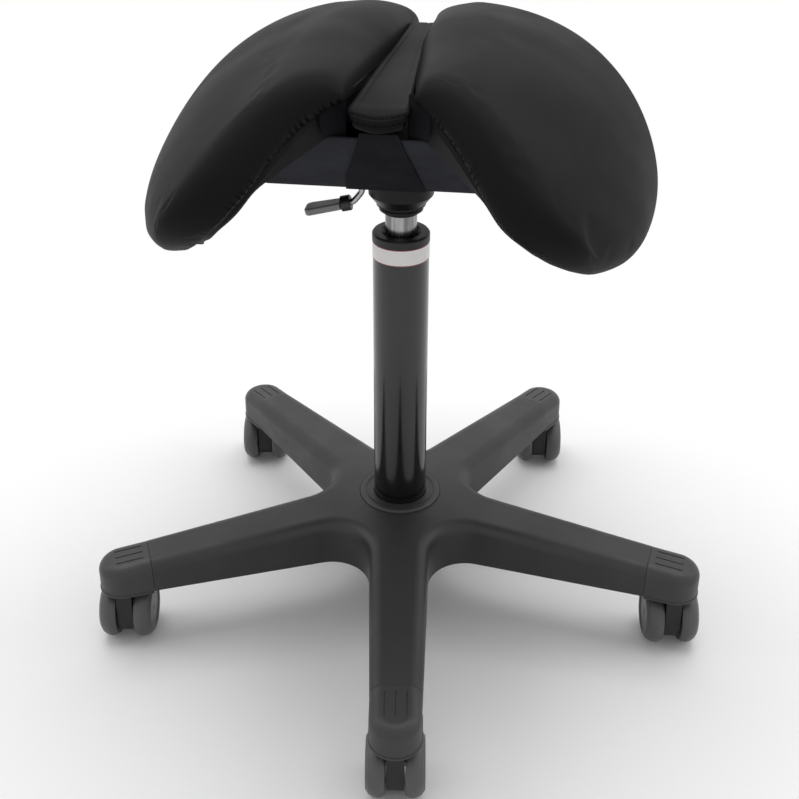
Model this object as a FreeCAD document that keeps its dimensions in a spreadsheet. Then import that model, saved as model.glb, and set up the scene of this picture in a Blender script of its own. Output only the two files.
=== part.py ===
import FreeCAD, Part
import math
import os
import Sketcher

# Saddle stool: a five-arm base on twin-wheel casters, a gas-spring column and a padded
# saddle seat in two halves with a strap between them. Sizes are in millimetres.
# The origin is on the floor on the column axis, +Z is up and -Y is the sitter's front.

doc = FreeCAD.newDocument("saddle_stool")
sheet = doc.addObject("Spreadsheet::Sheet", "sizes")

# Every driving dimension: name, value, what it is.
SIZES = [
    ("arm_count", 5, "arms of the star base"),
    ("cap_run", 25.4, "stem axis back to the end of the arm, where its cap starts"),
    ("arm_root_reach", 60, "where the root width of an arm is measured"),
    ("arm_root_half", 28.4, "half width of an arm at its root"),
    ("arm_tip_half", 21.8, "half width of an arm at its end"),
    ("arm_bottom", 63.5, "underside of the arms above the floor"),
    ("arm_top_tip", 94.7, "top of an arm at its end"),
    ("edge_round", 11, "round along the top edges of the arms"),
    ("web_round", 36, "round between neighbouring arms, seen from above"),
    ("side_wall", 4.5, "side walls of an arm around its hollow underside"),
    ("arm_roof", 7, "thickness of the arm's top at its end"),
    ("rib_wall", 3, "rib along the hollow of each arm"),
    ("hub_top", 112, "flat top of the hub"),
    ("hub_flat", 42, "radius of the flat top of the hub"),
    ("hub_core", 46, "radius of the solid hub"),
    ("hub_sleeve", 33, "radius of the sleeve under the hub"),
    ("hub_bottom", 54, "lower end of the sleeve under the hub"),
    ("ring_radius", 38.7, "outer radius of the trim ring in the hub"),
    ("ring_depth", 4, "depth of the recess that the trim ring lies in"),
    ("ring_height", 6.4, "height of the trim ring"),
    ("stem_reach", 270.4, "column axis to a caster stem"),
    ("tongue_half", 14, "half width of the tongue that carries a caster"),
    ("tongue_bottom", 67, "underside of the tongue"),
    ("boss_radius", 10.5, "boss around a caster stem"),
    ("boss_bottom", 62.5, "lower end of that boss"),
    ("cap_half", 21.6, "half width and end radius of an end cap"),
    ("cap_bottom", 61.3, "lower rim of an end cap"),
    ("cap_wall", 2.6, "wall of an end cap"),
    ("cap_inside", 86.5, "inner top of an end cap"),
    ("cap_lip", 0.6, "how far the lower rim of a cap stands out"),
    ("cap_lip_height", 1.8, "height of that rim"),
    ("cap_groove_width", 1.4, "width of the shallow grooves on a cap"),
    ("cap_groove_depth", 0.9, "depth of those grooves"),
    ("cap_groove_start", 6, "end of the arm to those grooves"),
    ("cap_groove_length", 25, "length of those grooves"),
    ("cap_groove_pitch", 9, "distance between neighbouring grooves"),
    ("stem_radius", 5.5, "caster stem"),
    ("stem_bottom", 36, "lower end of a caster stem"),
    ("stem_top", 83, "upper end of a caster stem"),
    ("stem_collar", 7.2, "radius of the collar on a caster stem"),
    ("stem_collar_height", 3, "height of that collar"),
    ("wheel_radius", 27.5, "caster wheel at the crown of its tread"),
    ("wheel_width", 16, "width of a caster wheel"),
    ("wheel_crown", 2.2, "fall of the tread from its crown to the inner side"),
    ("wheel_shoulder", 6.5, "fall of the tread from its crown to the outer face"),
    ("wheel_gap", 1.1, "gap between a wheel and the caster body"),
    ("web_half", 7.3, "half thickness of the caster body"),
    ("web_radius", 21.5, "radius of the caster body around the axle"),
    ("web_neck", 11, "half width of the caster body at its top"),
    ("web_top", 56, "top of the caster body"),
    ("axle_radius", 3, "caster axle"),
    ("axle_half", 19.5, "half length of a caster axle"),
    ("trail", 8, "stem axis to axle"),
    ("tube_radius", 25, "column tube"),
    ("tube_wall", 1.6, "wall of the column tube"),
    ("tube_bottom", 56, "lower end of the column tube"),
    ("tube_top", 380, "upper end of the column tube"),
    ("foot_plate", 3.5, "plate closing the foot of the tube"),
    ("bush_top", 388, "top of the guide bush"),
    ("bush_rim", 25.5, "radius of the rim of the guide bush"),
    ("bush_bottom", 300, "lower end of the guide bush"),
    ("bush_mouth", 4, "width of the countersink in the guide bush"),
    ("label_height", 15.4, "height of the band under the bush"),
    ("label_skin", 0.25, "thickness of that band"),
    ("fit_gap", 0.1, "radial clearance of fits that do not move"),
    ("run_gap", 0.05, "radial clearance of fits that move"),
    ("free_gap", 0.3, "clearance between neighbouring pieces"),
    ("cylinder_radius", 14, "chromed cylinder of the gas spring"),
    ("cylinder_wall", 1.6, "wall of that cylinder"),
    ("cylinder_bottom", 102, "lower end of that cylinder at rest"),
    ("cylinder_top", 438, "upper end of that cylinder at rest"),
    ("cylinder_head", 10, "closed head of that cylinder"),
    ("guide_height", 16, "rod guide with its seal in the lower end of the cylinder"),
    ("rod_radius", 5, "piston rod"),
    ("piston_bottom", 286, "underside of the piston"),
    ("piston_height", 14, "height of the piston"),
    ("piston_ring", 3, "height of the groove around the piston"),
    ("washer_radius", 14, "thrust washers, and the buffer above them"),
    ("washer_height", 2, "thickness of a thrust washer"),
    ("ball_radius", 2.2, "balls of the thrust bearing"),
    ("ball_count", 10, "balls of the thrust bearing"),
    ("buffer_height", 14, "rubber buffer"),
    ("shoulder_radius", 9, "shoulder of the rod above the bearing"),
    ("shoulder_height", 2.5, "height of that shoulder"),
    ("clip_radius", 9, "clip under the foot of the tube"),
    ("clip_height", 1.5, "thickness of that clip"),
    ("pin_radius", 4, "release pin of the gas spring"),
    ("pin_proud", 6, "how far the release pin stands out"),
    ("valve_height", 9, "valve body under the cylinder head"),
    ("socket_bottom", 406.5, "lower end of the cone that sits on the cylinder"),
    ("socket_lip", 16.2, "radius of that lower end"),
    ("socket_waist", 19.3, "lower rib of the cone"),
    ("socket_rib", 21.6, "upper rib of the cone"),
    ("socket_radius", 28.4, "radius of the cone at its top"),
    ("socket_shoulder", 424, "height where the cone reaches that radius"),
    ("housing_bottom", 440, "underside of the mechanism housing"),
    ("housing_top", 478, "top of the mechanism housing"),
    ("housing_half_x", 30, "half width of the housing"),
    ("housing_half_y", 34, "half length of the housing"),
    ("plate_height", 4, "thickness of the mounting plate"),
    ("plate_half_x", 72, "half width of the mounting plate"),
    ("plate_half_y", 82, "half length of the mounting plate"),
    ("screw_x", 58, "screws of the plate, from the seat's middle line"),
    ("screw_y", 66, "screws of the plate, from the column axis"),
    ("screw_radius", 3, "screws of the plate"),
    ("screw_grip", 16, "depth of a screw in its boss"),
    ("screw_head", 5.5, "radius of a screw's head"),
    ("screw_head_height", 3.4, "height of a screw's head"),
    ("boss_wall", 6, "wall of a screw boss of the seat shells"),
    ("lever_height", 447.8, "lever rod inside the housing"),
    ("lever_pivot", 24, "pivot pin of the lever, from the column axis"),
    ("lever_radius", 2.8, "lever rod"),
    ("lever_bend", 8, "bend radius of the lever rod"),
    ("lever_elbow_x", 42, "lower elbow of the lever, from the column axis"),
    ("lever_elbow_z", 412.6, "height of that elbow"),
    ("lever_droop", 13, "droop of the paddle, in degrees"),
    ("lever_eye", 6, "radius of the eye around the pivot pin"),
    ("pivot_radius", 2, "pivot pin of the lever"),
    ("collar_radius", 7, "round collar of the lever"),
    ("collar_length", 9, "length of that collar"),
    ("paddle_length", 32, "lever paddle"),
    ("paddle_width", 19, "width of the paddle"),
    ("paddle_thick", 6.5, "thickness of the paddle"),
    ("seat_yaw", 6.5, "how far the seat is turned at rest, in degrees"),
    ("half_gap", 22, "middle line to the inner edge of a seat half"),
    ("pan_height", 530, "top of the seat shell at its inner edge"),
    ("wing_span", 193, "width of a seat half, measured along its curve"),
    ("slope_root", -12, "slope of a seat half at its inner edge, in degrees"),
    ("slope_mid", -37.6, "slope halfway out"),
    ("slope_tip", -90, "slope at the outer edge"),
    ("length_root", 360, "length of a seat half at its inner edge"),
    ("length_mid", 387, "length halfway out"),
    ("length_tip", 347, "length that the outline would have at the outer edge"),
    ("middle_root", 20, "middle of that length, back from the column axis"),
    ("middle_mid", -26.4, "middle of the length halfway out"),
    ("middle_tip", -109, "middle of the length at the outer edge"),
    ("pitch_root", -7.7, "rise of a half towards its front at the inner edge, in degrees"),
    ("pitch_tip", 15.5, "fall of a half towards its front at the outer edge, in degrees"),
    ("fan_root", 1.2, "turn of a cross-section, seen from above, at the inner edge"),
    ("fan_tip", -18.5, "turn of a cross-section at the outer edge"),
    ("outline_power", 4.07, "how blunt the outer edge is along the span"),
    ("outline_round", 2.52, "how round the outer edge is at its corners"),
    ("front_notch", 17.3, "how far the front corner is drawn back at the inner edge"),
    ("pad_thick", 47.2, "cushion with its crown"),
    ("pad_crown", 9, "crown of the cushion over its side edges"),
    ("pad_shoulder", 15, "round from the side of the cushion to its top"),
    ("pad_tuck", 8, "how far the side of the cushion is drawn in at its foot"),
    ("pad_inner", 0.5, "share of the thickness left at the inner edge"),
    ("pad_inner_run", 0.2, "share of the span over which the inner edge is rounded"),
    ("pad_tip", 0.5, "share of the thickness left at the outer edge"),
    ("pan_inset", 9, "how far the shell stays inside the cushion's edge at its inner end"),
    ("pan_inset_tip", 22, "the same from halfway out"),
    ("pan_root", 24, "depth of the shell along its inner edge"),
    ("pan_thin", 6, "depth of the shell from halfway out"),
    ("pan_bevel", 0.5, "how far the shell's sides lean in, as a share of its depth"),
    ("strap_front", 160, "front end of the centre strap, from the column axis"),
    ("strap_back", 166, "back end of the centre strap"),
    ("strap_front_rise", 20, "front end of the centre strap, above the shells' inner edge"),
    ("strap_rise", 10, "the same above the column axis"),
    ("strap_back_rise", 1.5, "the same at its back end"),
    ("strap_low", 10, "column axis to the place where that is measured"),
    ("strap_crest", 18, "length of the level stretch behind the front end"),
    ("strap_crest_fall", 1.5, "fall of that stretch"),
    ("strap_lip", 6.5, "how far the front end of the strap is rolled down"),
    ("strap_hem", 12, "how far it then turns back underneath"),
    ("strap_fold", 10, "how far the back end of the strap is folded down"),
    ("strap_tail", 14, "how far it then turns in underneath"),
    ("strap_half_front", 22, "half width of the strap at its front end"),
    ("strap_half_back", 10, "half width of the strap at its back end"),
    ("strap_thick", 3, "thickness of the strap"),
    ("cover_thick", 2.5, "fabric cover under the seat"),
    ("cover_bottom", 452, "lowest plane of the cover"),
    ("cover_half_x", 106, "half width of that plane"),
    ("cover_half_y", 62, "half length of that plane"),
    ("cover_flare_x", 0.37, "how far the sides of the cover spread for each millimetre up"),
    ("cover_flare_front", 1.2, "the same for its front"),
    ("cover_flare_back", 1.63, "the same for its back"),
    ("cover_drop_front", 6, "the cover's front edge between the halves, below the shells' inner edge"),
    ("cover_drop_back", 42, "the same at the cover's back edge"),
    ("flap_drop", 8, "upper end of the front flap, below the shells' inner edge"),
    ("flap_top_half", 26, "half width of the front flap at its top"),
    ("flap_bottom_half", 40, "half width of the front flap at its foot"),
    ("flap_thick", 1.6, "thickness of the front flap"),
]
for row, (name, value, note) in enumerate(SIZES, start=1):
    sheet.set(f"A{row}", name)
    sheet.set(f"B{row}", str(value))
    sheet.set(f"C{row}", note)
    sheet.setAlias(f"B{row}", name)
doc.recompute()

pieces = []


def size(expression):
    """The value of an expression on the sheet's names."""
    return float(sheet.evalExpression(expression))


def keep(piece, label):
    """Name a finished piece; its label is also its file's name."""
    piece.Label = label
    pieces.append(piece)
    return piece


def body(name):
    """A new PartDesign body, kept as a piece of that name."""
    made = doc.addObject("PartDesign::Body", name)
    return keep(made, name)


def origin_part(owner, role):
    """A plane or axis of the body's own origin."""
    return next(item for item in owner.Origin.OriginFeatures if item.Role == role)


def new_sketch(owner, name, role, offset=None, turn=0):
    """A sketch on one of the body's origin planes, lifted by an expression and turned in its plane."""
    made = owner.newObject("Sketcher::SketchObject", name)
    made.AttachmentSupport = [(origin_part(owner, role), "")]
    made.MapMode = "FlatFace"
    turned = FreeCAD.Rotation(FreeCAD.Vector(0, 0, 1), turn)
    made.AttachmentOffset = FreeCAD.Placement(FreeCAD.Vector(0, 0, 0), turned)
    if offset:
        made.setExpression("AttachmentOffset.Base.z", offset)
    return made


def pin_point(sketch, geometry, end, name, expressions):
    """Hold one point of a sketch at a pair of expressions."""
    kinds = ("DistanceX", "DistanceY")
    for kind, tag, expression in zip(kinds, "xy", expressions):
        value = float(sketch.evalExpression(expression))
        index = sketch.addConstraint(Sketcher.Constraint(kind, -1, 1, geometry, end, value))
        sketch.renameConstraint(index, f"{tag}_{name}")
        sketch.setExpression(f"Constraints.{tag}_{name}", expression)


def outline(sketch, points):
    """A closed outline of straight lines through points given as pairs of expressions."""
    start = sketch.GeometryCount
    places = [FreeCAD.Vector(size(x), size(y), 0) for x, y in points]
    count = len(places)
    for index, place in enumerate(places):
        sketch.addGeometry(Part.LineSegment(place, places[(index + 1) % count]), False)
    for index in range(count):
        after = start + (index + 1) % count
        sketch.addConstraint(Sketcher.Constraint("Coincident", start + index, 2, after, 1))
    for index, pair in enumerate(points):
        pin_point(sketch, start + index, 1, f"p{start + index}", pair)
    return sketch


def ring_outline(sketch, centre, radius):
    """A circle whose centre and radius are expressions."""
    place = FreeCAD.Vector(size(centre[0]), size(centre[1]), 0)
    normal = FreeCAD.Vector(0, 0, 1)
    index = sketch.addGeometry(Part.Circle(place, normal, size(radius)), False)
    pin_point(sketch, index, 3, f"c{index}", centre)
    held = sketch.addConstraint(Sketcher.Constraint("Radius", index, size(radius)))
    sketch.renameConstraint(held, f"r_c{index}")
    sketch.setExpression(f"Constraints.r_c{index}", radius)
    return sketch


def stadium(sketch, start, centre, half):
    """A strip along +X from start, closed by a half round about centre."""
    low, high = f"-({half})", half
    corners = [(start, low), (centre, low), (centre, high), (start, high)]
    a, b, c, d = [FreeCAD.Vector(size(x), size(y), 0) for x, y in corners]
    middle = FreeCAD.Vector(size(centre), 0, 0)
    circle = Part.Circle(middle, FreeCAD.Vector(0, 0, 1), size(half))
    sketch.addGeometry(Part.LineSegment(a, b), False)
    sketch.addGeometry(Part.ArcOfCircle(circle, -math.pi / 2, math.pi / 2), False)
    sketch.addGeometry(Part.LineSegment(c, d), False)
    sketch.addGeometry(Part.LineSegment(d, a), False)
    for index in range(4):
        sketch.addConstraint(Sketcher.Constraint("Coincident", index, 2, (index + 1) % 4, 1))
    pin_point(sketch, 0, 1, "a", corners[0])
    pin_point(sketch, 0, 2, "b", corners[1])
    pin_point(sketch, 2, 1, "c", corners[2])
    pin_point(sketch, 2, 2, "d", corners[3])
    held = sketch.addConstraint(Sketcher.Constraint("DistanceX", -1, 1, 1, 3, size(centre)))
    sketch.renameConstraint(held, "x_middle")
    sketch.setExpression("Constraints.x_middle", centre)
    return sketch


def turned(owner, name, points, role="XZ_Plane", axis="V_Axis", cut=False):
    """A solid of revolution, or a groove, from an outline of straight lines."""
    profile = outline(new_sketch(owner, name + "_profile", role), points)
    kind = "PartDesign::Groove" if cut else "PartDesign::Revolution"
    made = owner.newObject(kind, name)
    made.Profile = profile
    made.ReferenceAxis = (profile, [axis])
    made.Angle = 360
    doc.recompute()
    return made


def padded(owner, name, profile, length, midplane=False):
    """A pad of a sketch, its length an expression."""
    made = owner.newObject("PartDesign::Pad", name)
    made.Profile = profile
    made.setExpression("Length", length)
    made.Midplane = midplane
    doc.recompute()
    return made


def pocketed(owner, name, profile, length, midplane=False, reverse=False):
    """A pocket of a sketch; it has to take something away."""
    before = owner.Tip.Shape.Volume
    made = owner.newObject("PartDesign::Pocket", name)
    made.Profile = profile
    made.setExpression("Length", length)
    made.Midplane = midplane
    made.Reversed = reverse
    doc.recompute()
    if made.Shape.Volume >= before:
        raise RuntimeError(f"{name} cuts nothing")
    return made


def around(owner, name, feature):
    """Repeat a feature for every arm of the base."""
    made = owner.newObject("PartDesign::PolarPattern", name)
    made.Originals = [feature]
    made.Axis = (origin_part(owner, "Z_Axis"), [""])
    made.Angle = 360
    made.setExpression("Occurrences", "sizes.arm_count")
    owner.Tip = made
    doc.recompute()
    return made


def rounded(owner, name, base, radius, chosen):
    """Round the edges of a feature for which the test holds."""
    edges = [f"Edge{number}" for number, edge in enumerate(base.Shape.Edges, start=1) if chosen(edge)]
    made = owner.newObject("PartDesign::Fillet", name)
    made.Base = (base, edges)
    made.setExpression("Radius", radius)
    doc.recompute()
    return made


def samples(edge):
    """Points near both ends and in the middle of an edge."""
    first, last = edge.FirstParameter, edge.LastParameter
    return [edge.valueAt(first + share * (last - first)) for share in (0.02, 0.5, 0.98)]


def stands(edge):
    """Whether an edge is a straight vertical line."""
    low, middle, high = samples(edge)
    return edge.Curve.TypeId == "Part::GeomLine" and abs(low.x - high.x) + abs(low.y - high.y) < 1e-6


def reach(point):
    """Distance of a point from the column axis."""
    return math.hypot(point.x, point.y)


# The star base. One arm is drawn along +X, and the body is turned so that it points forward.
ARM_REACH = "(sizes.stem_reach - sizes.cap_run)"
ARM_SLOPE = f"(sizes.hub_top - sizes.arm_top_tip) / ({ARM_REACH} - sizes.hub_flat)"
ARM_TAPER = f"(sizes.arm_root_half - sizes.arm_tip_half) / ({ARM_REACH} - sizes.arm_root_reach)"
ARM_TURN = -90
TALL = "sizes.hub_top + 10"


def arm_top(distance):
    """Height of the arm's top surface at a distance from the column axis, as an expression."""
    return f"sizes.hub_top - {ARM_SLOPE} * ({distance} - sizes.hub_flat)"


def arm_half(distance, inset="0"):
    """Half width of the arm at a distance from the column axis, as an expression."""
    return f"(sizes.arm_root_half - {ARM_TAPER} * ({distance} - sizes.arm_root_reach) - {inset})"


def slope_cut(owner, name, beyond):
    """Cut everything above the flat of the hub and the sloping tops of the arms."""
    far = f"({beyond})"
    points = [
        ("0", "sizes.hub_top"),
        ("sizes.hub_flat", "sizes.hub_top"),
        (far, arm_top(far)),
        (far, TALL),
        ("0", TALL),
    ]
    return turned(owner, name, points, cut=True)


def on_slope(edge):
    """Whether an edge runs along the border of an arm's top."""
    slope = size(ARM_SLOPE)
    for point in samples(edge):
        height = size("sizes.hub_top") - slope * (reach(point) - size("sizes.hub_flat"))
        if abs(point.z - height) > 0.3 or reach(point) < size("sizes.hub_flat") + 1:
            return False
    return True


def is_arm_end(edge):
    """Whether an edge lies across the end of an arm."""
    middle = samples(edge)[1]
    step = 2 * math.pi / size("sizes.arm_count")
    angle = round(math.atan2(middle.y, middle.x) / step) * step
    along = middle.x * math.cos(angle) + middle.y * math.sin(angle)
    return along > size(ARM_REACH) - 0.5


star = body("base_star")
turned(star, "hub", [
    ("0", "sizes.arm_bottom"),
    ("sizes.hub_core", "sizes.arm_bottom"),
    ("sizes.hub_core", TALL),
    ("0", TALL),
])
arm_sketch = outline(new_sketch(star, "arm_outline", "XY_Plane", "sizes.arm_bottom"), [
    ("0", "-" + arm_half("0")),
    (ARM_REACH, "-sizes.arm_tip_half"),
    (ARM_REACH, "sizes.arm_tip_half"),
    ("0", arm_half("0")),
])
arm = padded(star, "arm", arm_sketch, TALL + " - sizes.arm_bottom")
arms = around(star, "arms", arm)
inner = "sizes.hub_core * 2"
webs = rounded(star, "webs", arms, "sizes.web_round",
               lambda edge: stands(edge) and reach(samples(edge)[1]) < size(inner))
slope = slope_cut(star, "arm_slope", ARM_REACH + " + 20")
top_round = rounded(star, "top_round", slope, "sizes.edge_round",
                    lambda edge: on_slope(edge) and not is_arm_end(edge))
hollow_start = "(sizes.hub_core + sizes.side_wall)"
hollow_end = f"({ARM_REACH} - sizes.side_wall)"
hollow_sketch = new_sketch(star, "hollow_outline", "XY_Plane", "sizes.arm_bottom")
for sign in ("", "-"):
    outline(hollow_sketch, [
        (hollow_start, f"{sign}sizes.rib_wall / 2"),
        (hollow_end, f"{sign}sizes.rib_wall / 2"),
        (hollow_end, sign + arm_half(hollow_end, "sizes.side_wall")),
        (hollow_start, sign + arm_half(hollow_start, "sizes.side_wall")),
    ])
hollow = pocketed(star, "hollow", hollow_sketch,
                  "sizes.arm_top_tip - sizes.arm_roof - sizes.arm_bottom", reverse=True)
around(star, "hollows", hollow)
tongue_top = "(sizes.cap_inside - sizes.free_gap)"
tongue_sketch = stadium(new_sketch(star, "tongue_outline", "XY_Plane", "sizes.tongue_bottom"),
                        hollow_end, "sizes.stem_reach", "sizes.tongue_half")
tongue = padded(star, "tongue", tongue_sketch, f"{tongue_top} - sizes.tongue_bottom")
around(star, "tongues", tongue)
boss_sketch = ring_outline(new_sketch(star, "boss_outline", "XY_Plane", "sizes.boss_bottom"),
                           ("sizes.stem_reach", "0"), "sizes.boss_radius")
boss = padded(star, "boss", boss_sketch, f"{tongue_top} - sizes.boss_bottom")
around(star, "bosses", boss)
stem_hole = "sizes.stem_radius + sizes.fit_gap"
socket_sketch = ring_outline(new_sketch(star, "socket_outline", "XY_Plane", "sizes.boss_bottom"),
                             ("sizes.stem_reach", "0"), stem_hole)
socket = pocketed(star, "socket", socket_sketch,
                  "sizes.stem_top + sizes.free_gap - sizes.boss_bottom", reverse=True)
around(star, "sockets", socket)
turned(star, "sleeve", [
    ("0", "sizes.hub_bottom"),
    ("sizes.hub_sleeve", "sizes.hub_bottom"),
    ("sizes.hub_sleeve", "sizes.arm_bottom + 1"),
    ("0", "sizes.arm_bottom + 1"),
])
turned(star, "bore", [
    ("0", "sizes.hub_bottom - 1"),
    ("sizes.tube_radius + sizes.fit_gap", "sizes.hub_bottom - 1"),
    ("sizes.tube_radius + sizes.fit_gap", TALL),
    ("0", TALL),
], cut=True)
recess = "sizes.ring_radius + sizes.free_gap"
turned(star, "ring_recess", [
    ("sizes.tube_radius", "sizes.hub_top - sizes.ring_depth"),
    (recess, "sizes.hub_top - sizes.ring_depth"),
    (recess, TALL),
    ("sizes.tube_radius", TALL),
], cut=True)
star.Placement = FreeCAD.Placement(FreeCAD.Vector(0, 0, 0), FreeCAD.Rotation(ARM_TURN, 0, 0))

# The trim ring lies in the recess around the column.
ring = body("hub_ring")
ring_foot = "sizes.hub_top - sizes.ring_depth"
ring_top = "sizes.hub_top - sizes.ring_depth + sizes.ring_height"
turned(ring, "ring", [
    ("sizes.tube_radius + sizes.free_gap", ring_foot),
    ("sizes.ring_radius", ring_foot),
    ("sizes.ring_radius", "sizes.hub_top + 0.6"),
    ("sizes.ring_radius - 1.6", ring_top),
    ("sizes.ring_radius - 5", ring_top),
    ("sizes.ring_radius - 7", f"{ring_top} - 1.2"),
    ("sizes.tube_radius + sizes.free_gap", f"{ring_top} - 1.2"),
])

# One cap over the end of each arm, with a rounded top, a rim and three grooves.
cap_start = f"({ARM_REACH} + sizes.free_gap)"
cap_end = "sizes.stem_reach + sizes.cap_half"
for number in range(int(size("sizes.arm_count"))):
    cap = body(f"end_cap_{number + 1}")
    cap_sketch = stadium(new_sketch(cap, "cap_outline", "XY_Plane", "sizes.cap_bottom"),
                         cap_start, "sizes.stem_reach", "sizes.cap_half")
    padded(cap, "cap_block", cap_sketch, TALL + " - sizes.cap_bottom")
    cap_slope = slope_cut(cap, "cap_slope", cap_end + " + 5")
    middle = size(ARM_REACH) + 3
    cap_round = rounded(cap, "cap_round", cap_slope, "sizes.edge_round",
                        lambda edge: on_slope(edge) and samples(edge)[1].x > middle)
    rim_sketch = stadium(new_sketch(cap, "rim_outline", "XY_Plane", "sizes.cap_bottom"),
                         cap_start, "sizes.stem_reach", "sizes.cap_half + sizes.cap_lip")
    padded(cap, "rim", rim_sketch, "sizes.cap_lip_height")
    inside_sketch = stadium(new_sketch(cap, "inside_outline", "XY_Plane", "sizes.cap_bottom"),
                            cap_start + " - 1", "sizes.stem_reach", "sizes.cap_half - sizes.cap_wall")
    pocketed(cap, "inside", inside_sketch, "sizes.cap_inside - sizes.cap_bottom", reverse=True)
    groove_from = f"({ARM_REACH} + sizes.cap_groove_start)"
    groove_to = f"({groove_from} + sizes.cap_groove_length)"
    groove_sketch = new_sketch(cap, "groove_outline", "XZ_Plane")
    outline(groove_sketch, [
        (groove_from, f"{arm_top(groove_from)} - sizes.cap_groove_depth"),
        (groove_to, f"{arm_top(groove_to)} - sizes.cap_groove_depth"),
        (groove_to, TALL),
        (groove_from, TALL),
    ])
    groove = pocketed(cap, "groove", groove_sketch, "sizes.cap_groove_width", midplane=True)
    for side, sign in (("left", ""), ("right", "-")):
        side_sketch = new_sketch(cap, f"groove_outline_{side}", "XZ_Plane",
                                 f"{sign}sizes.cap_groove_pitch")
        outline(side_sketch, [
            (groove_from, f"{arm_top(groove_from)} - sizes.cap_groove_depth"),
            (groove_to, f"{arm_top(groove_to)} - sizes.cap_groove_depth"),
            (groove_to, TALL),
            (groove_from, TALL),
        ])
        pocketed(cap, f"groove_{side}", side_sketch, "sizes.cap_groove_width", midplane=True)
    arm_angle = ARM_TURN + 360 / size("sizes.arm_count") * number
    cap.Placement = FreeCAD.Placement(FreeCAD.Vector(0, 0, 0), FreeCAD.Rotation(arm_angle, 0, 0))

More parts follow.
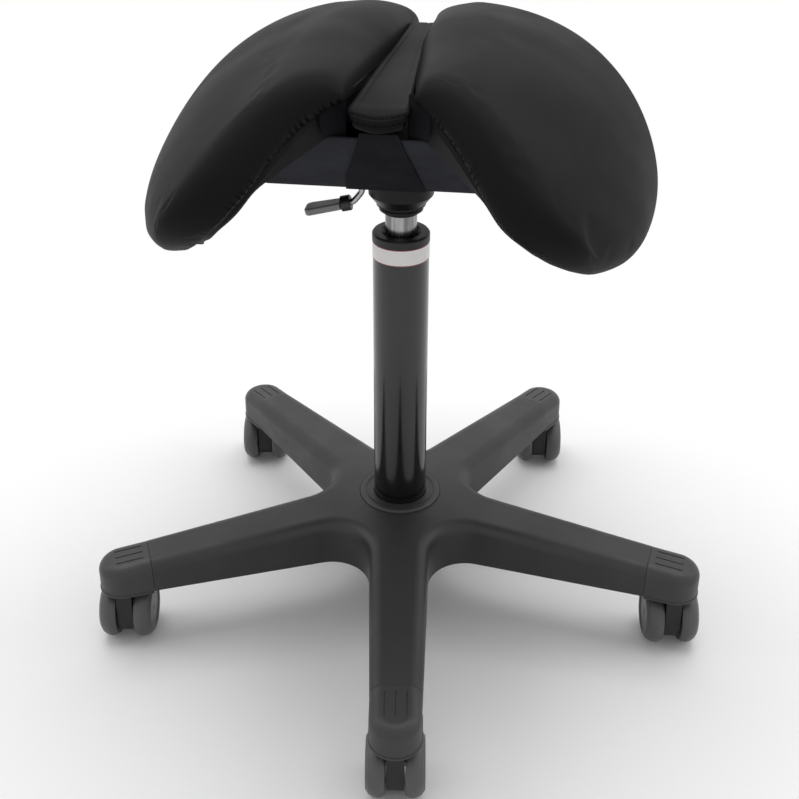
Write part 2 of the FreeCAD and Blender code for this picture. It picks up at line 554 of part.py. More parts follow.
# A twin-wheel caster under the end of each arm: a steel stem in the arm, and a body that
# swivels on it and holds an axle with two wheels. All of them roll along Y at rest.
axle_height = "sizes.wheel_radius"
wheel_inner = "(sizes.web_half + sizes.wheel_gap)"
wheel_outer = f"({wheel_inner} + sizes.wheel_width)"
wheel_bore = "sizes.axle_radius + sizes.run_gap"
for number in range(int(size("sizes.arm_count"))):
    turn = math.radians(ARM_TURN + 360 / size("sizes.arm_count") * number)
    spot = FreeCAD.Vector(math.cos(turn), math.sin(turn), 0) * size("sizes.stem_reach")
    place = FreeCAD.Placement(spot, FreeCAD.Rotation())

    stem = body(f"caster_stem_{number + 1}")
    collar_low = "sizes.boss_bottom - sizes.free_gap - sizes.stem_collar_height"
    turned(stem, "stem", [
        ("0", "sizes.stem_bottom"),
        ("sizes.stem_radius", "sizes.stem_bottom"),
        ("sizes.stem_radius", collar_low),
        ("sizes.stem_collar", collar_low),
        ("sizes.stem_collar", f"{collar_low} + sizes.stem_collar_height"),
        ("sizes.stem_radius", f"{collar_low} + sizes.stem_collar_height"),
        ("sizes.stem_radius", "sizes.stem_top - 2"),
        ("sizes.stem_radius - 1.5", "sizes.stem_top"),
        ("0", "sizes.stem_top"),
    ])
    stem.Placement = place

    web = body(f"caster_body_{number + 1}")
    web_sketch = new_sketch(web, "web_outline", "YZ_Plane")
    front, back = "sizes.trail - sizes.web_radius", "sizes.trail + sizes.web_radius"
    corners = [
        (front, axle_height),
        (back, axle_height),
        (back, f"{axle_height} + sizes.web_radius / 2"),
        ("sizes.web_neck", "sizes.web_top"),
        ("-sizes.web_neck", "sizes.web_top"),
    ]
    spots = [FreeCAD.Vector(size(y), size(z), 0) for y, z in corners]
    axle_spot = FreeCAD.Vector(size("sizes.trail"), size(axle_height), 0)
    round_foot = Part.Circle(axle_spot, FreeCAD.Vector(0, 0, 1), size("sizes.web_radius"))
    web_sketch.addGeometry(Part.ArcOfCircle(round_foot, math.pi, 2 * math.pi), False)
    for index in range(1, 5):
        web_sketch.addGeometry(Part.LineSegment(spots[index], spots[(index + 1) % 5]), False)
    for index in range(5):
        web_sketch.addConstraint(Sketcher.Constraint("Coincident", index, 2, (index + 1) % 5, 1))
    pin_point(web_sketch, 0, 1, "a", corners[0])
    for index in range(1, 5):
        pin_point(web_sketch, index, 1, f"p{index}", corners[index])
    held = web_sketch.addConstraint(Sketcher.Constraint("DistanceY", -1, 1, 0, 3, axle_spot.y))
    web_sketch.renameConstraint(held, "y_axle")
    web_sketch.setExpression("Constraints.y_axle", axle_height)
    padded(web, "web", web_sketch, "sizes.web_half * 2", midplane=True)
    turned(web, "stem_hole", [
        ("0", "sizes.stem_bottom - sizes.free_gap"),
        ("sizes.stem_radius + sizes.run_gap", "sizes.stem_bottom - sizes.free_gap"),
        ("sizes.stem_radius + sizes.run_gap", "sizes.web_top + 1"),
        ("0", "sizes.web_top + 1"),
    ], cut=True)
    axle_sketch = ring_outline(new_sketch(web, "axle_outline", "YZ_Plane"),
                               ("sizes.trail", axle_height), "sizes.axle_radius + sizes.run_gap")
    pocketed(web, "axle_hole", axle_sketch, "sizes.web_half * 2 + 2", midplane=True)
    web.Placement = place

    axle = keep(doc.addObject("Part::Cylinder", f"caster_axle_{number + 1}"), f"caster_axle_{number + 1}")
    axle.setExpression("Radius", "sizes.axle_radius")
    axle.setExpression("Height", "sizes.axle_half * 2")
    axle_start = FreeCAD.Vector(-size("sizes.axle_half"), size("sizes.trail"), size(axle_height))
    axle.Placement = FreeCAD.Placement(spot + axle_start, FreeCAD.Rotation(FreeCAD.Vector(0, 1, 0), 90))

    for side, sign in (("left", "-"), ("right", "")):
        wheel = body(f"wheel_{side}_{number + 1}")
        wheel_sketch = new_sketch(wheel, "wheel_profile", "XY_Plane")
        rim = "sizes.wheel_radius - sizes.wheel_shoulder"
        crown_x = f"({wheel_inner} + sizes.wheel_width * 0.4)"
        shoulder_x = f"({wheel_outer} - sizes.wheel_width * 0.16)"
        line = [
            (wheel_inner, wheel_bore),
            (wheel_inner, "sizes.wheel_radius - sizes.wheel_crown"),
            (f"({wheel_inner} + sizes.wheel_width * 0.16)", "sizes.wheel_radius - sizes.wheel_crown * 0.35"),
            (f"({crown_x} - sizes.wheel_width * 0.06)", "sizes.wheel_radius"),
            (f"({crown_x} + sizes.wheel_width * 0.06)", "sizes.wheel_radius"),
            (f"({crown_x} + sizes.wheel_width * 0.24)", "sizes.wheel_radius - sizes.wheel_shoulder * 0.13"),
            (shoulder_x, "sizes.wheel_radius - sizes.wheel_shoulder * 0.43"),
            (wheel_outer, rim),
            (wheel_outer, f"{rim} - 2"),
            (f"({wheel_outer} - 1.2)", f"{rim} - 3"),
            (f"({wheel_outer} - 1.2)", "4"),
            (f"({wheel_outer} - 0.4)", "0"),
            ("(sizes.axle_half + sizes.free_gap)", "0"),
            ("(sizes.axle_half + sizes.free_gap)", wheel_bore),
        ]
        outline(wheel_sketch, [(f"{sign}{x}", y) for x, y in line])
        spun = wheel.newObject("PartDesign::Revolution", "wheel")
        spun.Profile = wheel_sketch
        spun.ReferenceAxis = (wheel_sketch, ["H_Axis"])
        spun.Angle = 360
        doc.recompute()
        centre = FreeCAD.Vector(0, size("sizes.trail"), size(axle_height))
        wheel.Placement = FreeCAD.Placement(spot + centre, FreeCAD.Rotation())

# The column: a tube that stands in the hub, the bush that guides the gas spring, and a band.
tube = body("column_tube")
tube_inside = "sizes.tube_radius - sizes.tube_wall"
rod_foot = "(sizes.rod_radius + 1)"
turned(tube, "tube", [
    (f"{rod_foot} + sizes.free_gap", "sizes.tube_bottom"),
    ("sizes.tube_radius", "sizes.tube_bottom"),
    ("sizes.tube_radius", "sizes.tube_top"),
    (tube_inside, "sizes.tube_top"),
    (tube_inside, "sizes.tube_bottom + sizes.foot_plate"),
    (f"{rod_foot} + sizes.free_gap", "sizes.tube_bottom + sizes.foot_plate"),
])

bush = body("guide_bush")
bush_bore = "sizes.cylinder_radius + sizes.run_gap"
turned(bush, "bush", [
    (bush_bore, "sizes.bush_bottom"),
    (f"{tube_inside} - sizes.fit_gap", "sizes.bush_bottom"),
    (f"{tube_inside} - sizes.fit_gap", "sizes.tube_top"),
    ("sizes.bush_rim", "sizes.tube_top"),
    ("sizes.bush_rim", "sizes.bush_top - 1.6"),
    ("sizes.bush_rim - 1.2", "sizes.bush_top"),
    (f"{bush_bore} + sizes.bush_mouth", "sizes.bush_top"),
    (bush_bore, "sizes.bush_top - sizes.bush_mouth"),
])

band = body("label_band")
band_inside = "sizes.tube_radius + sizes.run_gap"
turned(band, "band", [
    (band_inside, "sizes.tube_top - sizes.free_gap - sizes.label_height"),
    (f"{band_inside} + sizes.label_skin", "sizes.tube_top - sizes.free_gap - sizes.label_height"),
    (f"{band_inside} + sizes.label_skin", "sizes.tube_top - sizes.free_gap"),
    (band_inside, "sizes.tube_top - sizes.free_gap"),
])

# Inside the foot of the tube: thrust bearing, buffer, and the clip that holds the piston rod.
bearing_low = "(sizes.tube_bottom + sizes.foot_plate + sizes.fit_gap)"
ball_centre = f"({bearing_low} + sizes.washer_height + sizes.ball_radius)"
bearing_high = f"({ball_centre} + sizes.ball_radius)"
shoulder_low = f"({bearing_high} + sizes.washer_height + sizes.fit_gap)"
shoulder_high = f"({shoulder_low} + sizes.shoulder_height)"
for name, low in (("bearing_washer_low", bearing_low), ("bearing_washer_high", bearing_high)):
    washer = body(name)
    turned(washer, "washer", [
        (f"{rod_foot} + sizes.free_gap", low),
        ("sizes.washer_radius", low),
        ("sizes.washer_radius", f"{low} + sizes.washer_height"),
        (f"{rod_foot} + sizes.free_gap", f"{low} + sizes.washer_height"),
    ])
balls = doc.addObject("Part::Feature", "bearing_balls")
ball_ring = (size(rod_foot) + size("sizes.washer_radius")) / 2
count = int(size("sizes.ball_count"))
ball_spots = []
for number in range(count):
    turn = 2 * math.pi * number / count
    x, y = ball_ring * math.cos(turn), ball_ring * math.sin(turn)
    ball_spots.append(FreeCAD.Vector(x, y, size(ball_centre)))
ball_size = size("sizes.ball_radius - sizes.run_gap / 2")
balls.Shape = Part.makeCompound([Part.makeSphere(ball_size, spot) for spot in ball_spots])
keep(balls, "bearing_balls")

buffer = body("rubber_buffer")
turned(buffer, "buffer", [
    ("sizes.rod_radius + sizes.free_gap", shoulder_high),
    ("sizes.washer_radius", shoulder_high),
    ("sizes.washer_radius", f"{shoulder_high} + sizes.buffer_height"),
    ("sizes.rod_radius + sizes.free_gap", f"{shoulder_high} + sizes.buffer_height"),
])

clip = body("retaining_clip")
clip_top = "(sizes.tube_bottom - sizes.free_gap)"
clip_bottom = f"({clip_top} - sizes.clip_height)"
turned(clip, "clip", [
    ("sizes.rod_radius - 0.9", clip_bottom),
    ("sizes.clip_radius", clip_bottom),
    ("sizes.clip_radius", clip_top),
    ("sizes.rod_radius - 0.9", clip_top),
])

rod = body("piston_rod")
rod_end = f"({clip_bottom} - 2)"
turned(rod, "rod", [
    ("0", rod_end),
    (rod_foot, rod_end),
    (rod_foot, f"{clip_bottom} - sizes.run_gap"),
    ("sizes.rod_radius - 1", f"{clip_bottom} - sizes.run_gap"),
    ("sizes.rod_radius - 1", f"{clip_top} + sizes.run_gap"),
    (rod_foot, f"{clip_top} + sizes.run_gap"),
    (rod_foot, shoulder_low),
    ("sizes.shoulder_radius", shoulder_low),
    ("sizes.shoulder_radius", f"{shoulder_high} - sizes.run_gap"),
    ("sizes.rod_radius", f"{shoulder_high} - sizes.run_gap"),
    ("sizes.rod_radius", "sizes.piston_bottom - sizes.run_gap"),
    ("0", "sizes.piston_bottom - sizes.run_gap"),
])

cylinder_inside = "sizes.cylinder_radius - sizes.cylinder_wall"
piston = body("piston")
piston_side = f"{cylinder_inside} - sizes.fit_gap"
ring_low = "sizes.piston_bottom + (sizes.piston_height - sizes.piston_ring) / 2"
ring_high = "sizes.piston_bottom + (sizes.piston_height + sizes.piston_ring) / 2"
turned(piston, "piston", [
    ("0", "sizes.piston_bottom"),
    (piston_side, "sizes.piston_bottom"),
    (piston_side, ring_low),
    (f"{piston_side} - 2", ring_low),
    (f"{piston_side} - 2", ring_high),
    (piston_side, ring_high),
    (piston_side, "sizes.piston_bottom + sizes.piston_height"),
    ("0", "sizes.piston_bottom + sizes.piston_height"),
])

# The chromed cylinder slides in the bush and carries the seat; a pin on top releases it.
cylinder = body("gas_cylinder")
head_bottom = "(sizes.cylinder_top - sizes.cylinder_head)"
pin_hole = "sizes.pin_radius + sizes.run_gap"
turned(cylinder, "cylinder", [
    (cylinder_inside, "sizes.cylinder_bottom"),
    ("sizes.cylinder_radius", "sizes.cylinder_bottom"),
    ("sizes.cylinder_radius", "sizes.cylinder_top - 1"),
    ("sizes.cylinder_radius - 1", "sizes.cylinder_top"),
    (pin_hole, "sizes.cylinder_top"),
    (pin_hole, head_bottom),
    (cylinder_inside, head_bottom),
])
inner_side = f"{cylinder_inside} - sizes.fit_gap"
rod_side = "sizes.rod_radius + sizes.run_gap"
guide = body("rod_guide")
turned(guide, "sleeve", [
    (rod_side, "sizes.cylinder_bottom"),
    (inner_side, "sizes.cylinder_bottom"),
    (inner_side, "sizes.cylinder_bottom + sizes.guide_height"),
    (rod_side, "sizes.cylinder_bottom + sizes.guide_height"),
])
valve = body("valve_body")
turned(valve, "valve", [
    (pin_hole, f"{head_bottom} - sizes.fit_gap - sizes.valve_height"),
    (inner_side, f"{head_bottom} - sizes.fit_gap - sizes.valve_height"),
    (inner_side, f"{head_bottom} - sizes.fit_gap"),
    (pin_hole, f"{head_bottom} - sizes.fit_gap"),
])
release = keep(doc.addObject("Part::Cylinder", "release_pin"), "release_pin")
release_low = f"({head_bottom} - sizes.valve_height / 2)"
release.setExpression("Radius", "sizes.pin_radius")
release.setExpression("Height", f"sizes.cylinder_top + sizes.pin_proud - {release_low}")
release.setExpression("Placement.Base.z", release_low)

# Everything on top of the cylinder is drawn with the seat's front along -Y and then turned.
seat_turn = FreeCAD.Rotation(-size("sizes.seat_yaw"), 0, 0)
seat_place = FreeCAD.Placement(FreeCAD.Vector(0, 0, 0), seat_turn)

# The cone of the mechanism sits on the cylinder, and its housing holds the lever.
housing = body("mechanism_housing")
socket_bore = "sizes.cylinder_radius + sizes.fit_gap"
lip = "sizes.socket_bottom"
turned(housing, "cone", [
    (socket_bore, lip),
    ("sizes.socket_lip", lip),
    ("sizes.socket_lip + 0.8", f"{lip} + 2"),
    ("sizes.socket_waist", f"{lip} + 2.5"),
    ("sizes.socket_waist", f"{lip} + 4.5"),
    ("sizes.socket_waist - 0.6", f"{lip} + 5.2"),
    ("sizes.socket_rib", f"{lip} + 7.2"),
    ("sizes.socket_rib", f"{lip} + 8.8"),
    ("sizes.socket_radius", "sizes.socket_shoulder"),
    ("sizes.socket_radius", "sizes.housing_bottom + 1"),
    (socket_bore, "sizes.housing_bottom + 1"),
])
box_sketch = outline(new_sketch(housing, "box_outline", "XY_Plane", "sizes.housing_bottom"), [
    ("-sizes.housing_half_x", "-sizes.housing_half_y"),
    ("sizes.housing_half_x", "-sizes.housing_half_y"),
    ("sizes.housing_half_x", "sizes.housing_half_y"),
    ("-sizes.housing_half_x", "sizes.housing_half_y"),
])
padded(housing, "box", box_sketch, "sizes.housing_top - sizes.housing_bottom")
turned(housing, "cylinder_bore", [
    ("0", f"{lip} - 1"),
    (socket_bore, f"{lip} - 1"),
    (socket_bore, "sizes.cylinder_top + sizes.free_gap"),
    ("sizes.pin_radius + 3", "sizes.cylinder_top + sizes.free_gap"),
    ("sizes.pin_radius + 3", "sizes.lever_height + sizes.lever_eye"),
    ("0", "sizes.lever_height + sizes.lever_eye"),
], cut=True)
slot_half = "(sizes.lever_radius + 1.5)"
slot_sketch = outline(new_sketch(housing, "slot_outline", "XZ_Plane"), [
    ("-sizes.housing_half_x - 1", "sizes.housing_bottom - 8"),
    ("-sizes.socket_radius + 11", "sizes.housing_bottom - 8"),
    ("-sizes.socket_radius + 11", "sizes.cylinder_top + 2"),
    ("10", "sizes.cylinder_top + 2"),
    ("10", "sizes.lever_height + sizes.lever_eye + 2"),
    ("-sizes.housing_half_x - 1", "sizes.lever_height + sizes.lever_eye + 2"),
])
pocketed(housing, "lever_slot", slot_sketch, f"{slot_half} * 2", midplane=True)
pivot_sketch = ring_outline(new_sketch(housing, "pivot_outline", "XZ_Plane"),
                            ("-sizes.lever_pivot", "sizes.lever_height"),
                            "sizes.pivot_radius + sizes.run_gap")
pivot_length = f"({slot_half} * 2 + 14)"
pocketed(housing, "pivot_hole", pivot_sketch, pivot_length, midplane=True)
housing.Placement = seat_place

pivot = keep(doc.addObject("Part::Cylinder", "lever_pivot_pin"), "lever_pivot_pin")
pivot.setExpression("Radius", "sizes.pivot_radius")
pivot.setExpression("Height", f"{pivot_length} - 1")
pivot_half = size(pivot_length) / 2 - 0.5
pivot_end = FreeCAD.Vector(-size("sizes.lever_pivot"), pivot_half, size("sizes.lever_height"))
pivot_lie = FreeCAD.Placement(pivot_end, FreeCAD.Rotation(FreeCAD.Vector(1, 0, 0), 90))
pivot.Placement = seat_place.multiply(pivot_lie)

# The lever: a bent rod with an eye on the pivot pin, a round collar and a flat paddle.
droop = math.radians(size("sizes.lever_droop"))
elbow = (-size("sizes.lever_elbow_x"), size("sizes.lever_elbow_z"))
outward = (-math.cos(droop), -math.sin(droop))
bend_x = -size("sizes.lever_pivot") - 6
rod_tip = size("sizes.collar_length + sizes.paddle_length * 0.6")
route = [
    FreeCAD.Vector(4, 0, size("sizes.lever_height")),
    FreeCAD.Vector(bend_x + 3, 0, size("sizes.lever_height")),
    FreeCAD.Vector(elbow[0] + 7, 0, elbow[1] + 9),
    FreeCAD.Vector(elbow[0], 0, elbow[1]),
    FreeCAD.Vector(elbow[0] + outward[0] * rod_tip, 0, elbow[1] + outward[1] * rod_tip),
]


def rounded_path(points, radius):
    """Straight runs through the points, joined by tangent arcs of one radius."""
    edges = []
    start = points[0]
    for before, corner, after in zip(points, points[1:], points[2:]):
        back = (before - corner).normalize()
        ahead = (after - corner).normalize()
        half = math.acos(max(-1, min(1, back.dot(ahead)))) / 2
        run = min(radius / math.tan(half), 0.45 * (before - corner).Length, 0.45 * (after - corner).Length)
        first, last = corner + back * run, corner + ahead * run
        inward = (back + ahead).normalize()
        true_radius = run * math.tan(half)
        middle = corner + inward * (true_radius / math.sin(half) - true_radius)
        edges.append(Part.LineSegment(start, first).toShape())
        edges.append(Part.Arc(first, middle, last).toShape())
        start = last
    edges.append(Part.LineSegment(start, points[-1]).toShape())
    return Part.Wire(edges)


spine = rounded_path(route, size("sizes.lever_bend"))
ring_edge = Part.makeCircle(size("sizes.lever_radius"), route[0], FreeCAD.Vector(-1, 0, 0))
bent_rod = spine.makePipeShell([Part.Wire([ring_edge])], True, False)
eye_half = size("sizes.lever_radius")
eye_start = FreeCAD.Vector(-size("sizes.lever_pivot"), -eye_half, size("sizes.lever_height"))
along_y = FreeCAD.Vector(0, 1, 0)
eye = Part.makeCylinder(size("sizes.lever_eye"), 2 * eye_half, eye_start, along_y)
eye_hole = Part.makeCylinder(size("sizes.pivot_radius + sizes.run_gap"), 2 * eye_half + 8,
                             eye_start - along_y * 4, along_y)
lever_rod = doc.addObject("Part::Feature", "lever_rod")
lever_rod.Shape = bent_rod.fuse(eye).cut(eye_hole)
lever_rod.Placement = seat_place
keep(lever_rod, "lever_rod")

lever_turn = FreeCAD.Rotation(FreeCAD.Vector(0, 1, 0), -size("sizes.lever_droop"))
lever_lie = FreeCAD.Placement(FreeCAD.Vector(elbow[0], 0, elbow[1]), lever_turn)
lever_place = seat_place.multiply(lever_lie)
collar = body("lever_collar")
collar_sketch = new_sketch(collar, "collar_outline", "YZ_Plane", "-2 - sizes.collar_length")
ring_outline(collar_sketch, ("0", "0"), "sizes.collar_radius")
ring_outline(collar_sketch, ("0", "0"), "sizes.lever_radius + sizes.run_gap")
collar_pad = padded(collar, "collar", collar_sketch, "sizes.collar_length")
rounded(collar, "collar_round", collar_pad, "1.2",
        lambda edge: abs(edge.Curve.Radius - size("sizes.collar_radius")) < 0.01
        if edge.Curve.TypeId == "Part::GeomCircle" else False)
collar.Placement = lever_place

paddle = body("lever_paddle")
paddle_start = "(-2 - sizes.collar_length - sizes.free_gap)"
paddle_end = f"({paddle_start} - sizes.paddle_length)"
paddle_sketch = outline(new_sketch(paddle, "paddle_outline", "XY_Plane"), [
    (paddle_end, "-sizes.paddle_width / 2"),
    (paddle_start, "-sizes.paddle_width / 2 + 2"),
    (paddle_start, "sizes.paddle_width / 2 - 2"),
    (paddle_end, "sizes.paddle_width / 2"),
])
paddle_pad = padded(paddle, "paddle", paddle_sketch, "sizes.paddle_thick", midplane=True)
paddle_corners = rounded(paddle, "paddle_corners", paddle_pad, "5",
                         lambda edge: stands(edge) and samples(edge)[1].x < size(paddle_end) + 1)
rounded(paddle, "paddle_round", paddle_corners, "1.6",
        lambda edge: not stands(edge) and samples(edge)[1].x < size(paddle_start) - 1)
bore_sketch = new_sketch(paddle, "rod_outline", "YZ_Plane", paddle_start)
ring_outline(bore_sketch, ("0", "0"), "sizes.lever_radius + sizes.run_gap")
rod_depth = f"({rod_tip} + sizes.free_gap - 2 - sizes.collar_length)"
pocketed(paddle, "rod_hole", bore_sketch, rod_depth)
paddle.Placement = lever_place

# The mounting plate lies on the housing; four screws go through it into the seat shells.
plate = body("mount_plate")
plate_sketch = outline(new_sketch(plate, "plate_outline", "XY_Plane", "sizes.housing_top"), [
    ("-sizes.plate_half_x", "-sizes.plate_half_y"),
    ("sizes.plate_half_x", "-sizes.plate_half_y"),
    ("sizes.plate_half_x", "sizes.plate_half_y"),
    ("-sizes.plate_half_x", "sizes.plate_half_y"),
])
plate_pad = padded(plate, "plate", plate_sketch, "sizes.plate_height")
rounded(plate, "plate_corners", plate_pad, "10", stands)
screw_spots = [
    ("-sizes.screw_x", "-sizes.screw_y"),
    ("-sizes.screw_x", "sizes.screw_y"),
    ("sizes.screw_x", "-sizes.screw_y"),
    ("sizes.screw_x", "sizes.screw_y"),
]
hole_sketch = new_sketch(plate, "screw_outline", "XY_Plane", "sizes.housing_top")
for spot in screw_spots:
    ring_outline(hole_sketch, spot, "sizes.screw_radius + sizes.free_gap")
pocketed(plate, "screw_holes", hole_sketch, "sizes.plate_height", reverse=True)
plate.Placement = seat_place

plate_top = size("sizes.housing_top + sizes.plate_height")
upward = FreeCAD.Vector(0, 0, 1)
screw_solids = []
for spot in screw_spots:
    seat_spot = FreeCAD.Vector(size(spot[0]), size(spot[1]), size("sizes.housing_top"))
    head = Part.makeCylinder(size("sizes.screw_head"), size("sizes.screw_head_height"), seat_spot, -upward)
    shank = Part.makeCylinder(size("sizes.screw_radius"), size("sizes.plate_height + sizes.screw_grip"),
                              seat_spot, upward)
    screw_solids.append(head.fuse(shank))
screws = doc.addObject("Part::Feature", "seat_screws")
screws.Shape = Part.makeCompound(screw_solids)
screws.Placement = seat_place
keep(screws, "seat_screws")


# Each half of the seat follows a curve that leans down towards its outer edge. Its
# cross-sections stand across that curve and change in length, pitch and turn on the way out.
def blend(share, root, middle, tip):
    """A value that runs smoothly through those at the inner edge, halfway out and at the tip."""
    return (root * 2 * (share - 0.5) * (share - 1) + middle * 4 * share * (1 - share)
            + tip * 2 * share * (share - 0.5))


def lean(share):
    """Slope of the curve, as an angle."""
    root, middle, tip = size("sizes.slope_root"), size("sizes.slope_mid"), size("sizes.slope_tip")
    return math.radians(blend(share, root, middle, tip))


def curve_point(share, steps=40):
    """Point of the curve in the XZ plane, found by adding up its slope."""
    run, rise = 0, 0
    for number in range(steps):
        angle = lean(share * (number + 0.5) / steps)
        run += math.cos(angle) / steps
        rise += math.sin(angle) / steps
    span = size("sizes.wing_span") * share
    return size("sizes.half_gap") + span * run, size("sizes.pan_height") + span * rise


def section_frame(share):
    """Origin of a cross-section, the direction of its length and the direction of its height."""
    x, z = curve_point(share)
    angle = lean(share)
    outward = FreeCAD.Vector(math.cos(angle), 0, math.sin(angle))
    across = FreeCAD.Vector(-math.sin(angle), 0, math.cos(angle))
    fan = math.radians(size("sizes.fan_root") * (1 - share) + size("sizes.fan_tip") * share)
    pitch = math.radians(size("sizes.pitch_root") * (1 - share) + size("sizes.pitch_tip") * share)
    along = FreeCAD.Vector(0, 1, 0) * math.cos(fan) - outward * math.sin(fan)
    along = along * math.cos(pitch) + across * math.sin(pitch)
    height = outward.cross(along).normalize()
    middle = blend(share, size("sizes.middle_root"), size("sizes.middle_mid"), size("sizes.middle_tip"))
    return FreeCAD.Vector(x, middle + notch(share), z), along, height


def notch(share):
    """How far a section's middle moves back where the front corner is drawn in."""
    return size("sizes.front_notch") / 2 * max(0, 1 - share / 0.18) ** 2


def half_length(share):
    """Half the length of the seat half at a share of the way out."""
    length = blend(share, size("sizes.length_root"), size("sizes.length_mid"), size("sizes.length_tip")) / 2
    outer = max(0, 1 - share ** size("sizes.outline_power")) ** (1 / size("sizes.outline_round"))
    return max(6, length * outer - notch(share))


def pad_height(share):
    """Thickness of the cushion, thinner towards both edges, with a rounded nose at the tip."""
    inner = size("sizes.pad_inner")
    tip = size("sizes.pad_tip")
    full = size("sizes.pad_thick")
    run = size("sizes.pad_inner_run")
    if share < run:
        full *= inner + (1 - inner) * math.sqrt(1 - (1 - share / run) ** 2)
    if share > 0.8:
        full *= tip + (1 - tip) * math.sqrt(max(0, 1 - ((share - 0.8) / 0.2) ** 2))
    nose = 1
    if share > 0.93:
        nose = math.sqrt(1 - ((share - 0.93) / 0.075) ** 2)
    return full * nose, full * (1 - nose) * 0.4


def placed(share, side, flat_points):
    """Points of a cross-section, given along its length and height, set into the seat."""
    origin, along, height = section_frame(share)
    spots = []
    for far, high in flat_points:
        spot = origin + along * far + height * high
        spots.append(FreeCAD.Vector(side * spot.x, spot.y, spot.z))
    return spots


def pad_section(share, side):
    """Closed section of a cushion: flat foot, round sides and a crowned top."""
    half = half_length(share)
    thick, lift = pad_height(share)
    small = min(1, half / 40, thick / 36)
    tuck = size("sizes.pad_tuck") * small
    shoulder = size("sizes.pad_shoulder") * small
    top = thick - size("sizes.pad_crown") * small
    a, b, c, d, e, f, g = placed(share, side, [
        (half - tuck, lift),
        (half, lift + top / 2),
        (half - shoulder, lift + top),
        (0, lift + thick),
        (shoulder - half, lift + top),
        (-half, lift + top / 2),
        (tuck - half, lift),
    ])
    return Part.Wire([Part.Arc(a, b, c).toShape(), Part.Arc(c, d, e).toShape(),
                      Part.Arc(e, f, g).toShape(), Part.LineSegment(g, a).toShape()])


def straight_section(share, side, corners):
    """Closed section of straight lines through points of a cross-section."""
    spots = placed(share, side, corners)
    return Part.makePolygon(spots + spots[:1])


def pan_depth(share):
    """Depth of the shell, greatest along its inner edge."""
    root = size("sizes.pan_root")
    return root + (size("sizes.pan_thin") - root) * min(1, share * 2)


def pan_inset(share):
    """How far the shell stays inside the cushion's edge, least along its inner edge."""
    root = size("sizes.pan_inset")
    return root + (size("sizes.pan_inset_tip") - root) * min(1, share * 2)


PAD_STATIONS = (0, 0.02, 0.06, 0.12, 0.2, 0.28, 0.37, 0.5, 0.62, 0.74, 0.84, 0.91, 0.955, 0.98, 1)
PAN_STATIONS = (0, 0.06, 0.14, 0.25, 0.37, 0.5, 0.62, 0.74, 0.84, 0.91, 0.95)
CLEAR_STATIONS = (-0.02, 0.14, 0.3, 0.5, 0.7, 0.9, 1.1)
gap = size("sizes.free_gap")
keep_clear = []
for name, side in (("left", -1), ("right", 1)):
    cushion = doc.addObject("Part::Feature", f"cushion_{name}")
    cushion.Shape = Part.makeLoft([pad_section(share, side) for share in PAD_STATIONS], True, False)
    cushion.Placement = seat_place
    keep(cushion, f"cushion_{name}")

    pan_sections = []
    for share in PAN_STATIONS:
        depth = pan_depth(share)
        upper = half_length(share) - pan_inset(share)
        lower = upper - depth * size("sizes.pan_bevel")
        pan_sections.append(straight_section(share, side, [
            (-upper, -gap),
            (upper, -gap),
            (upper, -gap - 4),
            (lower, -depth),
            (-lower, -depth),
            (-upper, -gap - 4),
        ]))
    pan = Part.makeLoft(pan_sections, True, False)
    boss_radius = size("sizes.screw_radius + sizes.boss_wall")
    for y in (-size("sizes.screw_y"), size("sizes.screw_y")):
        foot = FreeCAD.Vector(side * size("sizes.screw_x"), y, plate_top)
        boss_reach = size("sizes.pan_height + sizes.pan_root") - plate_top
        column = Part.makeCylinder(boss_radius, boss_reach, foot, upward)
        hidden = column.cut(pan)
        below = min(hidden.Solids, key=lambda solid: solid.BoundBox.ZMin)
        inside = Part.makeCylinder(boss_radius, below.BoundBox.ZMax - plate_top, foot, upward).common(pan)
        pan = pan.fuse([below, inside]) if inside.Solids else pan.fuse(below)
        bore = Part.makeCylinder(size("sizes.screw_radius + sizes.fit_gap"), size("sizes.screw_grip") + 0.5,
                                 foot, upward)
        pan = pan.cut(bore)
    shell = doc.addObject("Part::Feature", f"seat_shell_{name}")
    shell.Shape = pan.removeSplitter()
    shell.Placement = seat_place
    keep(shell, f"seat_shell_{name}")

    clear_sections = []
    for share in CLEAR_STATIONS:
        depth = pan_depth(max(0, share)) + 2 * gap
        wide = 260
        clear_sections.append(straight_section(share, side, [
            (-wide, 70), (wide, 70), (wide, -depth), (-wide, -depth),
        ]))
    keep_clear.append(Part.makeLoft(clear_sections, True, False))

# The centre strap lies between the halves, with a rolled lip in front and a folded back end.
half_thick = size("sizes.strap_thick") / 2
strap_start = -size("sizes.strap_front") + half_thick
strap_end = size("sizes.strap_back") - half_thick
lip_height = size("sizes.pan_height + sizes.strap_front_rise") - half_thick
low_height = size("sizes.pan_height + sizes.strap_rise") - half_thick
back_height = size("sizes.pan_height + sizes.strap_back_rise") - half_thick
lip_foot = lip_height - size("sizes.strap_lip")
fold_foot = back_height - size("sizes.strap_fold")
strap_route = [
    FreeCAD.Vector(0, strap_start + size("sizes.strap_hem"), lip_foot),
    FreeCAD.Vector(0, strap_start, lip_foot),
    FreeCAD.Vector(0, strap_start, lip_height),
    FreeCAD.Vector(0, strap_start + size("sizes.strap_crest"), lip_height - size("sizes.strap_crest_fall")),
    FreeCAD.Vector(0, size("sizes.strap_low"), low_height),
    FreeCAD.Vector(0, strap_end, back_height),
    FreeCAD.Vector(0, strap_end, fold_foot),
    FreeCAD.Vector(0, strap_end - size("sizes.strap_tail"), fold_foot),
]
strap_path = rounded_path(strap_route, size("sizes.strap_thick"))
first = strap_route[0]
wide = size("sizes.strap_half_front") + 4
